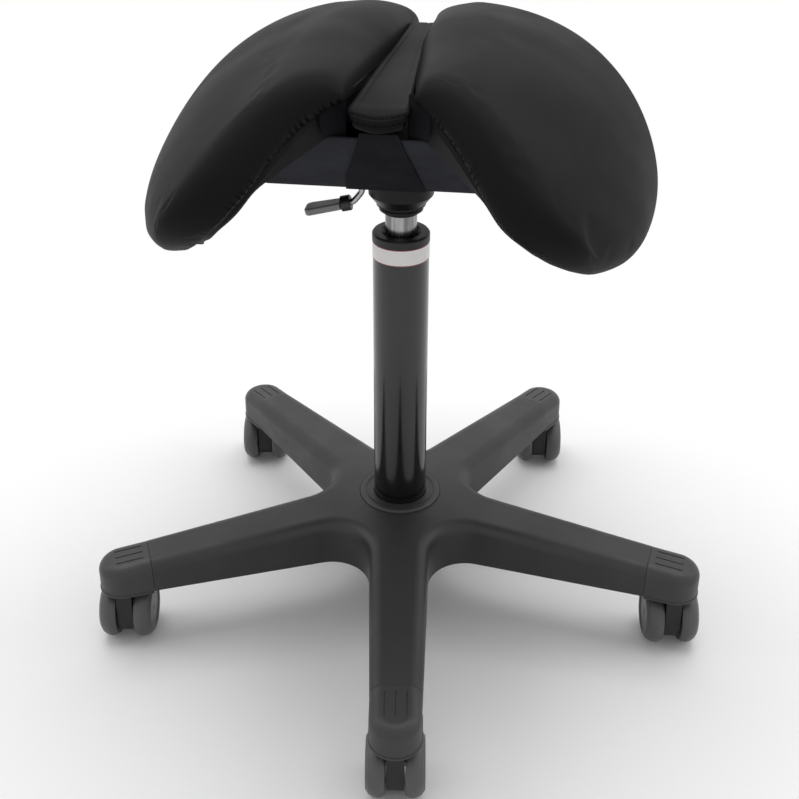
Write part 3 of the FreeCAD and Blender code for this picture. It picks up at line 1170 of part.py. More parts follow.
strap_corners = [
    FreeCAD.Vector(-wide, first.y, first.z - half_thick),
    FreeCAD.Vector(wide, first.y, first.z - half_thick),
    FreeCAD.Vector(wide, first.y, first.z + half_thick),
    FreeCAD.Vector(-wide, first.y, first.z + half_thick),
]
strap_ring = Part.makePolygon(strap_corners + strap_corners[:1])
strap_sheet = strap_path.makePipeShell([strap_ring], True, False)
front, back = -size("sizes.strap_front") - 1, size("sizes.strap_back") + 1
front_half, back_half = size("sizes.strap_half_front"), size("sizes.strap_half_back")
under_strap = min(point.z for point in strap_route) - 10
plan = [
    FreeCAD.Vector(-front_half, front, under_strap),
    FreeCAD.Vector(front_half, front, under_strap),
    FreeCAD.Vector(back_half, back, under_strap),
    FreeCAD.Vector(-back_half, back, under_strap),
]
plan_block = Part.Face(Part.makePolygon(plan + plan[:1])).extrude(upward * 60)
strap = doc.addObject("Part::Feature", "centre_strap")
strap.Shape = strap_sheet.common(plan_block)
strap.Placement = seat_place
keep(strap, "centre_strap")


# The fabric cover is a shallow tub under the halves, open at its top and cut to their curve.
def tub_block(inset, low, high):
    """A block between two heights whose sides spread upwards like the cover's."""
    wires = []
    for level in (low, high):
        rise = level - size("sizes.cover_bottom")
        x = size("sizes.cover_half_x") + size("sizes.cover_flare_x") * rise - inset
        y_front = -size("sizes.cover_half_y") - size("sizes.cover_flare_front") * rise + inset
        y_back = size("sizes.cover_half_y") + size("sizes.cover_flare_back") * rise - inset
        corners = [
            FreeCAD.Vector(-x, y_front, level),
            FreeCAD.Vector(x, y_front, level),
            FreeCAD.Vector(x, y_back, level),
            FreeCAD.Vector(-x, y_back, level),
        ]
        wires.append(Part.makePolygon(corners + corners[:1]))
    return Part.makeLoft(wires, True, True)


thin = size("sizes.cover_thick")
low = size("sizes.cover_bottom")
rim = size("sizes.pan_height") + 4
tub = tub_block(0, low, rim).cut(tub_block(1.5 * thin, low + thin, rim + 1))
hole_x = size("sizes.housing_half_x") + 2 * gap
hole_y = size("sizes.housing_half_y") + 2 * gap
tub = tub.cut(Part.makeBox(2 * hole_x, 2 * hole_y, 20, FreeCAD.Vector(-hole_x, -hole_y, low - 5)))
between = size("sizes.half_gap") + 14
front_top = size("sizes.pan_height - sizes.cover_drop_front")
back_top = size("sizes.pan_height - sizes.cover_drop_back")
tub = tub.cut(Part.makeBox(2 * between, 300, 100, FreeCAD.Vector(-between, -300, front_top)))
tub = tub.cut(Part.makeBox(2 * between, 300, 100, FreeCAD.Vector(-between, 0, back_top)))
for block in keep_clear:
    tub = tub.cut(block)
tub = max(tub.Solids, key=lambda solid: solid.Volume)
cover = doc.addObject("Part::Feature", "dust_cover")
cover.Shape = tub
cover.Placement = seat_place
keep(cover, "dust_cover")

# A flap of the same fabric hangs over the middle of the cover's front.
flap_rise = size("sizes.pan_height - sizes.flap_drop") - low
lay = FreeCAD.Vector(0, -1, -size("sizes.cover_flare_front")).normalize()
flap_low = FreeCAD.Vector(0, -size("sizes.cover_half_y"), low) + lay * gap
flap_high = flap_low + FreeCAD.Vector(0, -size("sizes.cover_flare_front") * flap_rise, flap_rise)
flap_points = [
    flap_low + FreeCAD.Vector(-size("sizes.flap_bottom_half"), 0, 0),
    flap_low + FreeCAD.Vector(size("sizes.flap_bottom_half"), 0, 0),
    flap_high + FreeCAD.Vector(size("sizes.flap_top_half"), 0, 0),
    flap_high + FreeCAD.Vector(-size("sizes.flap_top_half"), 0, 0),
]
flap_face = Part.Face(Part.makePolygon(flap_points + flap_points[:1]))
flap_sheet = flap_face.extrude(lay * size("sizes.flap_thick"))
for block in keep_clear:
    flap_sheet = flap_sheet.cut(block)
flap = doc.addObject("Part::Feature", "front_flap")
flap.Shape = max(flap_sheet.Solids, key=lambda solid: solid.Volume)
flap.Placement = seat_place
keep(flap, "front_flap")

doc.recompute()
for item in doc.Objects:
    if "Invalid" in item.State or "Error" in item.State:
        raise RuntimeError(f"{item.Label} did not recompute: {item.State}")
os.makedirs("parts", exist_ok=True)
for piece in pieces:
    if piece.Shape.isNull() or not piece.Shape.isValid() or not piece.Shape.Solids:
        raise RuntimeError(f"{piece.Label} is not a valid solid")
for piece in pieces:
    piece.Shape.exportStep(f"parts/{piece.Label}.step")
print(len(pieces), "pieces written")
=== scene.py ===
import bpy
import math
import numpy as np
from mathutils import Matrix, Vector
from mathutils.bvhtree import BVHTree


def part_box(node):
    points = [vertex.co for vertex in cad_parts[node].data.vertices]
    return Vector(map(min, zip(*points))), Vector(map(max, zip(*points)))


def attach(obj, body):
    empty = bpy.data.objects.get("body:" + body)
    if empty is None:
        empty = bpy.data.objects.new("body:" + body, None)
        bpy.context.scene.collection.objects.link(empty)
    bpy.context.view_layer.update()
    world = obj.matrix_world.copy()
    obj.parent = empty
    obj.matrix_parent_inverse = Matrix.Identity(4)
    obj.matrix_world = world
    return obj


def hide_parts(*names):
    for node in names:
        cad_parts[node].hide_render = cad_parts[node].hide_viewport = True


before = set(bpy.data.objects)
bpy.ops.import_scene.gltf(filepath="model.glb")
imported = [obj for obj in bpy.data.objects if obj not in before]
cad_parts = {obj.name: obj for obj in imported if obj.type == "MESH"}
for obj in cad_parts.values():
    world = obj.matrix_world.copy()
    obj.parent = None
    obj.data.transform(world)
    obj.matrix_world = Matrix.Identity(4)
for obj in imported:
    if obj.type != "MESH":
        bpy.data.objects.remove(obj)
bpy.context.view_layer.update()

# Star base: one piece of glass-filled nylon with a fine moulded grain. It is moulded whole,
# and the column stands in its hub. The nylon's grain is shared by the other moulded pieces.


def node_group(name, inputs, outputs):
    """An empty shader node group with named sockets, each given as (name, kind, value)."""
    group = bpy.data.node_groups.new(name, "ShaderNodeTree")
    for label, kind, value in inputs:
        socket = group.interface.new_socket(label, in_out="INPUT", socket_type=kind)
        socket.default_value = value
    for label, kind in outputs:
        group.interface.new_socket(label, in_out="OUTPUT", socket_type=kind)
    return group, group.nodes.new("NodeGroupInput"), group.nodes.new("NodeGroupOutput")


def math_node(tree, operation, first, second=None, clamp=False):
    """A Math node fed by sockets or plain numbers; gives its output socket."""
    made = tree.nodes.new("ShaderNodeMath")
    made.operation = operation
    made.use_clamp = clamp
    for index, value in enumerate((first, second)):
        if value is None:
            continue
        if isinstance(value, (int, float)):
            made.inputs[index].default_value = value
        else:
            tree.links.new(value, made.inputs[index])
    return made.outputs[0]


def ramp(tree, value, low, high, low_out=0.0, high_out=1.0):
    """A smooth step of a value between two limits."""
    made = tree.nodes.new("ShaderNodeMapRange")
    made.interpolation_type = "SMOOTHSTEP"
    made.inputs["From Min"].default_value = low
    made.inputs["From Max"].default_value = high
    made.inputs["To Min"].default_value = low_out
    made.inputs["To Max"].default_value = high_out
    tree.links.new(value, made.inputs["Value"])
    return made.outputs["Result"]


def noise(tree, place, scale, detail=2.0, roughness=0.5):
    """A Noise texture on a vector socket; its factor."""
    made = tree.nodes.new("ShaderNodeTexNoise")
    made.inputs["Scale"].default_value = scale
    made.inputs["Detail"].default_value = detail
    made.inputs["Roughness"].default_value = roughness
    tree.links.new(place, made.inputs["Vector"])
    return made.outputs["Fac"]


def two_colours(tree, mask, first, second):
    """A colour between two, by a mask."""
    made = tree.nodes.new("ShaderNodeMix")
    made.data_type = "RGBA"
    made.inputs["A"].default_value = (*first, 1)
    made.inputs["B"].default_value = (*second, 1)
    tree.links.new(mask, made.inputs["Factor"])
    return made.outputs["Result"]


def towards(tree, mask, first, colour):
    """A colour socket drawn towards a plain colour by a mask."""
    made = tree.nodes.new("ShaderNodeMix")
    made.data_type = "RGBA"
    made.inputs["B"].default_value = (*colour, 1)
    tree.links.new(mask, made.inputs["Factor"])
    tree.links.new(first, made.inputs["A"])
    return made.outputs["Result"]


def relief(tree, height, strength, distance, under=None, hollow=False):
    """A Bump node over a height, and over another normal where one is given; its normal."""
    made = tree.nodes.new("ShaderNodeBump")
    made.invert = hollow
    made.inputs["Strength"].default_value = strength
    made.inputs["Distance"].default_value = distance
    tree.links.new(height, made.inputs["Height"])
    if under is not None:
        tree.links.new(under, made.inputs["Normal"])
    return made.outputs["Normal"]


def new_material(name):
    """A material with its tree, its Principled shader and its Object coordinates."""
    made = bpy.data.materials.new(name)
    made.use_nodes = True
    tree = made.node_tree
    return made, tree, tree.nodes["Principled BSDF"], tree.nodes.new("ShaderNodeTexCoord").outputs["Object"]


def make_grain():
    """Moulded grain: fine pits, slow patches where the mould was polished, and soft edges that are partly
    worn and partly a painted highlight.
    """
    group, given, out = node_group(
        "moulded grain",
        [("Vector", "NodeSocketVector", (0, 0, 0)), ("Pits per metre", "NodeSocketFloat", 1400.0),
         ("Depth", "NodeSocketFloat", 0.4), ("Corner", "NodeSocketFloat", 0.0006)],
        [("Normal", "NodeSocketVector"), ("Patches", "NodeSocketFloat"), ("Edges", "NodeSocketFloat")])
    fine = group.nodes.new("ShaderNodeTexNoise")
    fine.inputs["Detail"].default_value = 1.5
    group.links.new(given.outputs["Vector"], fine.inputs["Vector"])
    group.links.new(given.outputs["Pits per metre"], fine.inputs["Scale"])
    corner = group.nodes.new("ShaderNodeBevel")
    corner.samples = 4
    group.links.new(given.outputs["Corner"], corner.inputs["Radius"])
    bump = group.nodes.new("ShaderNodeBump")
    bump.inputs["Distance"].default_value = 0.00012
    group.links.new(given.outputs["Depth"], bump.inputs["Strength"])
    group.links.new(fine.outputs["Fac"], bump.inputs["Height"])
    group.links.new(corner.outputs["Normal"], bump.inputs["Normal"])
    group.links.new(bump.outputs["Normal"], out.inputs["Normal"])
    slow = noise(group, given.outputs["Vector"], 18.0, 4.0, 0.6)
    group.links.new(ramp(group, slow, 0.35, 0.68), out.inputs["Patches"])
    place = group.nodes.new("ShaderNodeNewGeometry")
    turn = group.nodes.new("ShaderNodeVectorMath")
    turn.operation = "DOT_PRODUCT"
    group.links.new(place.outputs["Normal"], turn.inputs[0])
    group.links.new(corner.outputs["Normal"], turn.inputs[1])
    rough = noise(group, given.outputs["Vector"], 240.0, 3.0, 0.7)
    # Edge mask: partly wear, partly a painted highlight along the corners.
    wear_and_highlight = math_node(group, "MULTIPLY", ramp(group, turn.outputs["Value"], 0.995, 0.9), rough)
    group.links.new(wear_and_highlight, out.inputs["Edges"])
    return group


GRAIN = make_grain()


def plastic(name, colour, roughness, pits=1400.0, depth=0.4, corner=0.0006, metal=0.0, specular=0.5,
            coat=0.0):
    """A moulded or painted material: colour with slow patches, grain and slightly lighter edges that are
    partly wear and partly a painted highlight.
    """
    made, tree, shader, where = new_material(name)
    grain = tree.nodes.new("ShaderNodeGroup")
    grain.node_tree = GRAIN
    grain.inputs["Pits per metre"].default_value = pits
    grain.inputs["Depth"].default_value = depth
    grain.inputs["Corner"].default_value = corner
    tree.links.new(where, grain.inputs["Vector"])
    darker = tuple(value * 0.86 for value in colour)
    edge_wear_and_highlight = tuple(min(1, value * 1.7 + 0.004) for value in colour)
    body = two_colours(tree, grain.outputs["Patches"], darker, colour)
    # The edges are drawn lighter: partly wear, partly a painted highlight.
    tree.links.new(towards(tree, grain.outputs["Edges"], body, edge_wear_and_highlight), shader.inputs["Base Color"])
    tree.links.new(ramp(tree, grain.outputs["Patches"], 0, 1, roughness + 0.04, roughness - 0.03),
                   shader.inputs["Roughness"])
    tree.links.new(grain.outputs["Normal"], shader.inputs["Normal"])
    shader.inputs["Metallic"].default_value = metal
    shader.inputs["Specular IOR Level"].default_value = specular
    shader.inputs["Coat Weight"].default_value = coat
    shader.inputs["Coat Roughness"].default_value = 0.08
    return made


def dress(material, *names):
    """Give CAD pieces a material."""
    for name in names:
        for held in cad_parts[name].material_slots:
            held.link = "OBJECT"
            held.material = material


ARMS = range(1, 6)
dress(plastic("base nylon", (0.0255, 0.026, 0.0275), 0.47, 1500.0, 0.55, 0.0012, specular=0.42), "base_star")

# End caps and hub ring: moulded plastic pieces pushed onto the arms and into the hub. They are
# a shade smoother than the base.
dress(plastic("cap plastic", (0.034, 0.0345, 0.036), 0.44, 1700.0, 0.35, 0.0008, specular=0.42), "hub_ring",
      *[f"end_cap_{arm}" for arm in ARMS])

# Twin-wheel casters: a matt black body on a steel stem, and two grey nylon wheels on an axle.
# The stem is pressed into the arm, and the wheels are snapped onto the axle.
dress(plastic("caster body plastic", (0.012, 0.012, 0.013), 0.5, 1700.0, 0.3, specular=0.35),
      *[f"caster_body_{arm}" for arm in ARMS])
dress(plastic("wheel nylon", (0.080, 0.081, 0.084), 0.42, 1900.0, 0.25, 0.001, specular=0.45),
      *[f"wheel_{side}_{arm}" for side in ("left", "right") for arm in ARMS])
STEEL = plastic("zinc steel", (0.46, 0.46, 0.47), 0.34, 900.0, 0.15, 0.0003, metal=1.0)
dress(STEEL, *[f"caster_stem_{arm}" for arm in ARMS], *[f"caster_axle_{arm}" for arm in ARMS])

# Column: a steel tube with a gloss black coat stands in the hub, and a black acetal bush in
# its mouth guides the gas spring.
dress(plastic("column coat", (0.005, 0.005, 0.0055), 0.2, 500.0, 0.06, 0.0003, specular=0.45, coat=0.3),
      "column_tube")
dress(plastic("bush acetal", (0.012, 0.012, 0.0125), 0.46, 1500.0, 0.3, specular=0.4),
      "guide_bush", "rod_guide", "valve_body", "piston")

# Band under the bush: a thin white printed film with a red line along both edges, wrapped
# round the tube.


def band_film(low, high):
    """White film with red edge lines, found from the height on the tube, and faint print noise."""
    made, tree, shader, where = new_material("band film")
    split = tree.nodes.new("ShaderNodeSeparateXYZ")
    tree.links.new(where, split.inputs["Vector"])
    middle = (low + high) / 2
    half = (high - low) / 2
    away = math_node(tree, "ABSOLUTE", math_node(tree, "SUBTRACT", split.outputs["Z"], middle))
    line = ramp(tree, away, half - 0.0009, half - 0.0006)
    paper = two_colours(tree, noise(tree, where, 900.0), (0.90, 0.87, 0.865), (0.94, 0.91, 0.905))
    tree.links.new(towards(tree, line, paper, (0.30, 0.045, 0.045)), shader.inputs["Base Color"])
    tree.links.new(ramp(tree, noise(tree, where, 60.0), 0.3, 0.7, 0.3, 0.4), shader.inputs["Roughness"])
    return made


low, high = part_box("label_band")
dress(band_film(low[2], high[2]), "label_band")

# Gas spring: a chromed cylinder that rises out of the bush, with steel and rubber parts
# hidden inside the tube.


def chrome():
    """Polished chrome with very fine lengthwise polishing lines and slow smears."""
    made, tree, shader, where = new_material("cylinder chrome")
    stretch = tree.nodes.new("ShaderNodeMapping")
    stretch.inputs["Scale"].default_value = (1.0, 1.0, 0.06)
    tree.links.new(where, stretch.inputs["Vector"])
    lines = noise(tree, stretch.outputs["Vector"], 1600.0, 3.0, 0.6)
    broad = noise(tree, stretch.outputs["Vector"], 190.0, 2.0, 0.5)
    shader.inputs["Metallic"].default_value = 1.0
    tree.links.new(two_colours(tree, ramp(tree, broad, 0.36, 0.62), (0.17, 0.17, 0.172), (0.36, 0.36, 0.362)),
                   shader.inputs["Base Color"])
    tree.links.new(ramp(tree, lines, 0.3, 0.7, 0.2, 0.3), shader.inputs["Roughness"])
    tree.links.new(relief(tree, lines, 0.08, 0.0001), shader.inputs["Normal"])
    return made


dress(chrome(), "gas_cylinder")
dress(STEEL, "piston_rod", "release_pin", "bearing_washer_low", "bearing_washer_high", "bearing_balls",
      "retaining_clip")
dress(plastic("buffer rubber", (0.012, 0.012, 0.012), 0.7, 900.0, 0.3), "rubber_buffer")

# Mechanism: a painted steel cone and housing pressed onto the cylinder, with the mounting
# plate screwed to both seat shells.
dress(plastic("housing paint", (0.005, 0.0053, 0.007), 0.36, 800.0, 0.25, 0.0007, specular=0.22),
      "mechanism_housing", "mount_plate")
dress(STEEL, "seat_screws", "lever_pivot_pin")

# Height lever: a bent bright rod through a round black collar, with a flat grey plastic paddle
# pushed onto its end.
dress(plastic("lever steel", (0.42, 0.42, 0.42), 0.3, 700.0, 0.15, 0.0003, metal=1.0), "lever_rod")
dress(plastic("collar plastic", (0.012, 0.012, 0.013), 0.42, 1700.0, 0.3, 0.0005), "lever_collar")
dress(plastic("paddle plastic", (0.225, 0.225, 0.225), 0.5, 1500.0, 0.45, 0.0008), "lever_paddle")

# Seat shells: moulded black plastic, one under each half. The plate's screws go up into their
# bosses, and the cushions' covers are gathered under their edges.
dress(plastic("shell plastic", (0.0055, 0.0056, 0.0068), 0.55, 1100.0, 0.4, specular=0.15), "seat_shell_left",
      "seat_shell_right")

# Seat halves: black leatherette stretched over moulded foam and gathered under the edge of the
# shell. Each half follows a line that leans down towards its outer edge.
YAW = math.radians(6.5)
HALF_GAP, PAN_HEIGHT, SPAN = 0.022, 0.530, 0.193
SLOPES = (-12.0, -37.6, -90.0)
LENGTHS = (0.360, 0.387, 0.347)
MIDDLES = (0.020, -0.0264, -0.109)
PITCHES = (-7.7, 15.5)
FANS = (1.2, -18.5)
TIP_BLUNT, TIP_ROUND = 4.07, 2.52
NOTCH, NOTCH_END = 0.002, 0.18
PAD_THICK, PAD_CROWN, PAD_SHOULDER, PAD_TUCK = 0.0472, 0.009, 0.015, 0.008
FOOT_FALL = 0.135
FOOT_STEPS, WALL_STEPS, CROWN_STEPS, RING_STEPS = 40, 60, 160, 512
SECTIONS, CLOSE_SECTIONS, LAST_SHARE = 104, (0.0, 0.0015, 0.004, 0.008, 0.013), 0.99995
THIN_FROM, THIN_OVER = 0.8, 0.2
NOSE_FROM, NOSE_OVER = 0.93, 0.0735
SOFT_AT, SOFTNESS = (0, 0.12, 0.45), (0.012, 0.010, 0.0055)
INNER_ROUND, INNER_ROUND_DEPTH, INNER_DROP = 0.005, 0.004, 0.003
INNER_LONGER, INNER_LONGER_END = 0.008, 0.16
SINK_AT, SINK_SHARE = (-0.16, 0.16), (0.26, 0.13)
EDGE_LEAST, EDGE_PROUD = 0.006, 0.0015
CLOSE_AT, CLOSE_FRONT, CLOSE_BACK, CLOSE_GROWS = (0.04, 0.16), 0.0085, 0.0050, 0.0159
STRAP_ASIDE = 0.003
PUFF_FRAMES, PUFF_MOST = 20, 0.0008


def blend(share, root, middle, tip):
    """The parabola through three values at shares 0, one half and 1."""
    return (root * 2 * (share - 0.5) * (share - 1) + middle * 4 * share * (1 - share)
            + tip * 2 * share * (share - 0.5))


def seat_line(share):
    """X, Z and slope along a half's line, by adding up the slope from the inner edge outwards."""
    fine = np.linspace(-0.2, 1.1, 1301)
    slope = np.radians(blend(fine, *SLOPES))
    step = (fine[1] - fine[0]) * SPAN
    run = np.concatenate([[0], np.cumsum((np.cos(slope[1:]) + np.cos(slope[:-1])) / 2)]) * step
    rise = np.concatenate([[0], np.cumsum((np.sin(slope[1:]) + np.sin(slope[:-1])) / 2)]) * step
    x = HALF_GAP + np.interp(share, fine, run) - np.interp(0, fine, run)
    z = PAN_HEIGHT + np.interp(share, fine, rise) - np.interp(0, fine, rise)
    return x, z, np.interp(share, fine, slope)


def section_frames(share):
    """Origin, length direction and height direction of each cross-section: the length runs along
    +Y, turned about the vertical by the fan angle and then raised by the pitch angle."""
    x, z, slope = seat_line(share)
    nil = np.zeros_like(share)
    outward = np.stack([np.cos(slope), nil, np.sin(slope)], 1)
    across = np.stack([-np.sin(slope), nil, np.cos(slope)], 1)
    fan = np.radians(FANS[0] + (FANS[1] - FANS[0]) * share)[:, None]
    pitch = np.radians(PITCHES[0] + (PITCHES[1] - PITCHES[0]) * share)[:, None]
    along = np.array([[0.0, 1.0, 0.0]]) * np.cos(fan) - outward * np.sin(fan)
    along = along * np.cos(pitch) + across * np.sin(pitch)
    height = np.cross(outward, along)
    height /= np.linalg.norm(height, axis=1)[:, None]
    middle = blend(share, *MIDDLES) + notch(share)
    return np.stack([x, middle, z], 1), along, height


def notch(share):
    """How far the front corner is drawn back near the inner edge: a parabola that ends at a set
    share of the half's line."""
    return NOTCH / 2 * np.clip(1 - share / NOTCH_END, 0, 1) ** 2


def half_length(share):
    """Half a section's length: a parabola times a blunt rounding towards the tip."""
    outer = np.clip(1 - np.clip(share, 0, 1) ** TIP_BLUNT, 0, 1) ** (1 / TIP_ROUND)
    return np.maximum(0.004, blend(share, *LENGTHS) / 2 * outer - notch(share))


def to_seat(points, side):
    """Mirror a right-hand half for side -1, and turn it with the seat about the column."""
    x = points[..., 0] * side
    y = points[..., 1]
    return np.stack([x * math.cos(YAW) + y * math.sin(YAW), y * math.cos(YAW) - x * math.sin(YAW),
                     points[..., 2]], -1)


def three_point_arc(first, middle, last, count):
    """Points on the circle through three points, from the first up to the last: the centre is where
    the perpendicular bisectors meet, and the angle grows evenly."""
    (ax, ay), (bx, by), (cx, cy) = first, middle, last
    twice = 2 * (ax * (by - cy) + bx * (cy - ay) + cx * (ay - by))
    ux = ((ax**2 + ay**2) * (by - cy) + (bx**2 + by**2) * (cy - ay) + (cx**2 + cy**2) * (ay - by)) / twice
    uy = ((ax**2 + ay**2) * (cx - bx) + (bx**2 + by**2) * (ax - cx) + (cx**2 + cy**2) * (bx - ax)) / twice
    radius = np.hypot(ax - ux, ay - uy)
    start = np.arctan2(ay - uy, ax - ux)
    sweep = (np.arctan2(cy - uy, cx - ux) - start + np.pi) % (2 * np.pi) - np.pi
    angle = start + sweep * np.linspace(0, 1, count, endpoint=False)
    return np.stack([ux + radius * np.cos(angle), uy + radius * np.sin(angle)], 1)


def cushion_section(half, thick, lift, soft):
    """One closed section: a flat foot, bulged sides and a crowned top from circles through three
    points, then rounded by a Gaussian along its length. Gives points, and each one's distance up
    the front or back wall from the foot's corner."""
    small = min(1, half / 0.04, thick / 0.036)
    tuck, shoulder = PAD_TUCK * small, PAD_SHOULDER * small
    top = thick - PAD_CROWN * small
    front, back = -(half - tuck), half - tuck
    flat = np.zeros(FOOT_STEPS)
    foot_a = np.stack([np.linspace(0, front, FOOT_STEPS, endpoint=False), flat], 1)
    wall_a = three_point_arc((front, 0), (-half, top / 2), (shoulder - half, top), WALL_STEPS)
    crown = three_point_arc((shoulder - half, top), (0, thick), (half - shoulder, top), CROWN_STEPS)
    wall_b = three_point_arc((half - shoulder, top), (half, top / 2), (back, 0), WALL_STEPS)
    foot_b = np.stack([np.linspace(back, 0, FOOT_STEPS, endpoint=False), flat], 1)
    raw = np.concatenate([foot_a, wall_a, crown, wall_b, foot_b])
    closed = np.concatenate([raw, raw[:1]])
    length = np.concatenate([[0], np.cumsum(np.hypot(*np.diff(closed, axis=0).T))])
    even = np.linspace(0, length[-1], RING_STEPS, endpoint=False)
    ring = np.interp(even, length, closed[:, 0]) + 1j * np.interp(even, length, closed[:, 1])
    waves = np.fft.fftfreq(RING_STEPS, length[-1] / RING_STEPS)
    ring = np.fft.ifft(np.fft.fft(ring) * np.exp(-2 * (np.pi * waves * soft * small) ** 2))
    corners = length[np.cumsum([0, FOOT_STEPS, WALL_STEPS, CROWN_STEPS, WALL_STEPS, FOOT_STEPS])]
    spread = np.sin(np.linspace(0, 1, 13)[:-1] * np.pi / 2)
    eased = 0.5 - 0.5 * np.cos(np.linspace(0, 1, 49)[:-1] * np.pi)
    plain = np.linspace(0, 1, 25)[:-1]
    parts = (spread, plain, eased, plain, 1 - spread[:0:-1])
    at = np.concatenate([low + (high - low) * part for low, high, part in zip(corners, corners[1:], parts)])
    wrapped = np.concatenate([ring, ring[:1]])
    grid = np.concatenate([even, [length[-1]]])
    rise = np.where(at < length[-1] / 2, at - corners[1], corners[4] - at)
    points = np.stack([np.interp(at, grid, wrapped.real), np.interp(at, grid, wrapped.imag) + lift], 1)
    return points, rise


def strap_top(y):
    """Height of the centre strap's upper face along the seat, by straight pieces between its supports."""
    return np.interp(y, [-0.160, 0.010, 0.1645], [0.5480, 0.5400, 0.5315])


def cushion_grid(side):
    """The covered half as a grid: sections from the inner wall to the tip, closed by a shrunk ring
    at each end. Towards the strap a section sinks by a quarter ellipse to the strap's level and moves
    in to its edge. Gives points, distance along the outline and distance up the wall."""
    fine = np.linspace(0, 1, 4001)
    origin, along, height = section_frames(fine)
    edge = origin - along * half_length(fine)[:, None]
    reach = np.concatenate([[0], np.cumsum(np.linalg.norm(np.diff(edge, axis=0), axis=1))])
    even = np.linspace(0, reach[-1], SECTIONS)
    close = reach[-1] * np.array(CLOSE_SECTIONS)
    share = np.interp(np.concatenate([close, even[even > close[-1] + 0.001]]), reach, fine)
    share[-1] = LAST_SHARE
    origin, along, height = section_frames(share)
    outer = 0.5 + 0.5 * np.sqrt(np.clip(1 - (np.clip(share - THIN_FROM, 0, 1) / THIN_OVER) ** 2, 0, 1))
    nose = np.sqrt(np.clip(1 - (np.clip(share - NOSE_FROM, 0, 1) / NOSE_OVER) ** 2, 0.05, 1))
    thick = PAD_THICK * outer
    lift = thick * (1 - nose) * 0.4
    round_in = np.sqrt(1 - (1 - np.clip(share * SPAN / INNER_ROUND, 0, 1)) ** 2)
    half = (half_length(share) - INNER_ROUND_DEPTH * (1 - round_in)
            + INNER_LONGER * np.clip(1 - share / INNER_LONGER_END, 0, 1) ** 2)
    soft = np.interp(share, SOFT_AT, SOFTNESS)
    rows, rises = [], []
    for index in range(len(share)):
        full = thick[index] * nose[index]
        drop = INNER_DROP * (1 - round_in[index])
        points, rise = cushion_section(half[index], full - 1.6 * drop, lift[index] + 0.6 * drop, soft[index])
        y = origin[index, 1] + points[:, 0]
        foot = PAN_HEIGHT - FOOT_FALL * y
        edge_high = np.maximum(EDGE_LEAST, strap_top(y) - foot + EDGE_PROUD)
        near = np.clip(1 - share[index] / np.interp(y, SINK_AT, SINK_SHARE), 0, 1)
        swell = np.sqrt(1 - near**2)
        points[:, 1] *= swell + (1 - swell) * edge_high / full
        row = origin[index] + points[:, :1] * along[index] + points[:, 1:] * height[index]
        pull = np.interp(y, CLOSE_AT, [CLOSE_FRONT, CLOSE_BACK]) + CLOSE_GROWS * y
        pull -= side * STRAP_ASIDE * np.clip(-y / 0.16, 0, 1)
        row[:, 0] -= pull * near**2
        row[:, 0] -= np.interp(y, CLOSE_AT, [0.2, 0.06]) * points[:, 1] * near
        rows.append(row)
        rises.append(rise)
    rows, rises = np.array(rows), np.array(rises)
    first, last = rows[0], rows[-1]
    inner_ring = first.mean(0) + (first - first.mean(0)) * 0.5
    tip_ring = last.mean(0) + (last - last.mean(0)) * 0.5
    rows = np.concatenate([inner_ring[None], rows, tip_ring[None]])
    run = np.concatenate([[0], np.interp(share, fine, reach), [reach[-1]]])
    runs = np.repeat(run[:, None], rows.shape[1], 1)
    rises = np.concatenate([rises[:1] + 0.03, rises, rises[-1:]])
    return to_seat(rows, side), runs, rises


def grid_faces(rows, columns, flip, closed=True):
    """Quads of a grid of points, whose rows join round if closed."""
    index = np.arange(rows * columns).reshape(rows, columns)
    after = np.roll(index, -1, 1) if closed else index[:, 1:]
    here = index if closed else index[:, :-1]
    quads = np.stack([here[:-1], after[:-1], after[1:], here[1:]], -1).reshape(-1, 4)
    if flip:
        quads = quads[:, ::-1]
    return quads.tolist()


def new_piece(name, points, faces, material):
    """A smooth mesh object at the origin from arrays of points and faces."""
    mesh = bpy.data.meshes.new(name)
    mesh.from_pydata(points.reshape(-1, 3).tolist(), [], faces)
    mesh.validate()
    mesh.update()
    mesh.polygons.foreach_set("use_smooth", [True] * len(mesh.polygons))
    made = bpy.data.objects.new(name, mesh)
    bpy.context.collection.objects.link(made)
    mesh.materials.append(material)
    return made


def float_attribute(made, name, values):
    """Store one number for each vertex."""
    layer = made.data.attributes.new(name, "FLOAT", "POINT")
    layer.data.foreach_set("value", values.ravel().astype(np.float32))


def leather_pores():
    """Leatherette print: small rounded pebbles with thin creases between them, and slow patches."""
    group, given, out = node_group(
        "leatherette print",
        [("Vector", "NodeSocketVector", (0, 0, 0)), ("Cells per metre", "NodeSocketFloat", 900.0)],
        [("Height", "NodeSocketFloat"), ("Patches", "NodeSocketFloat")])
    cells = group.nodes.new("ShaderNodeTexVoronoi")
    cells.feature = "DISTANCE_TO_EDGE"
    group.links.new(given.outputs["Vector"], cells.inputs["Vector"])
    group.links.new(given.outputs["Cells per metre"], cells.inputs["Scale"])
    pebbles = ramp(group, cells.outputs["Distance"], 0.0, 0.28)
    fine = noise(group, given.outputs["Vector"], 3200.0, 2.0)
    group.links.new(math_node(group, "ADD", math_node(group, "MULTIPLY", pebbles, 0.7),
                              math_node(group, "MULTIPLY", fine, 0.3)), out.inputs["Height"])
    group.links.new(ramp(group, noise(group, given.outputs["Vector"], 9.0, 3.0, 0.55), 0.3, 0.7),
                    out.inputs["Patches"])
    return group


PORES = leather_pores()


def attribute(tree, name):
    """The value of a mesh's float attribute."""
    made = tree.nodes.new("ShaderNodeAttribute")
    made.attribute_name = name
    return made.outputs["Fac"]


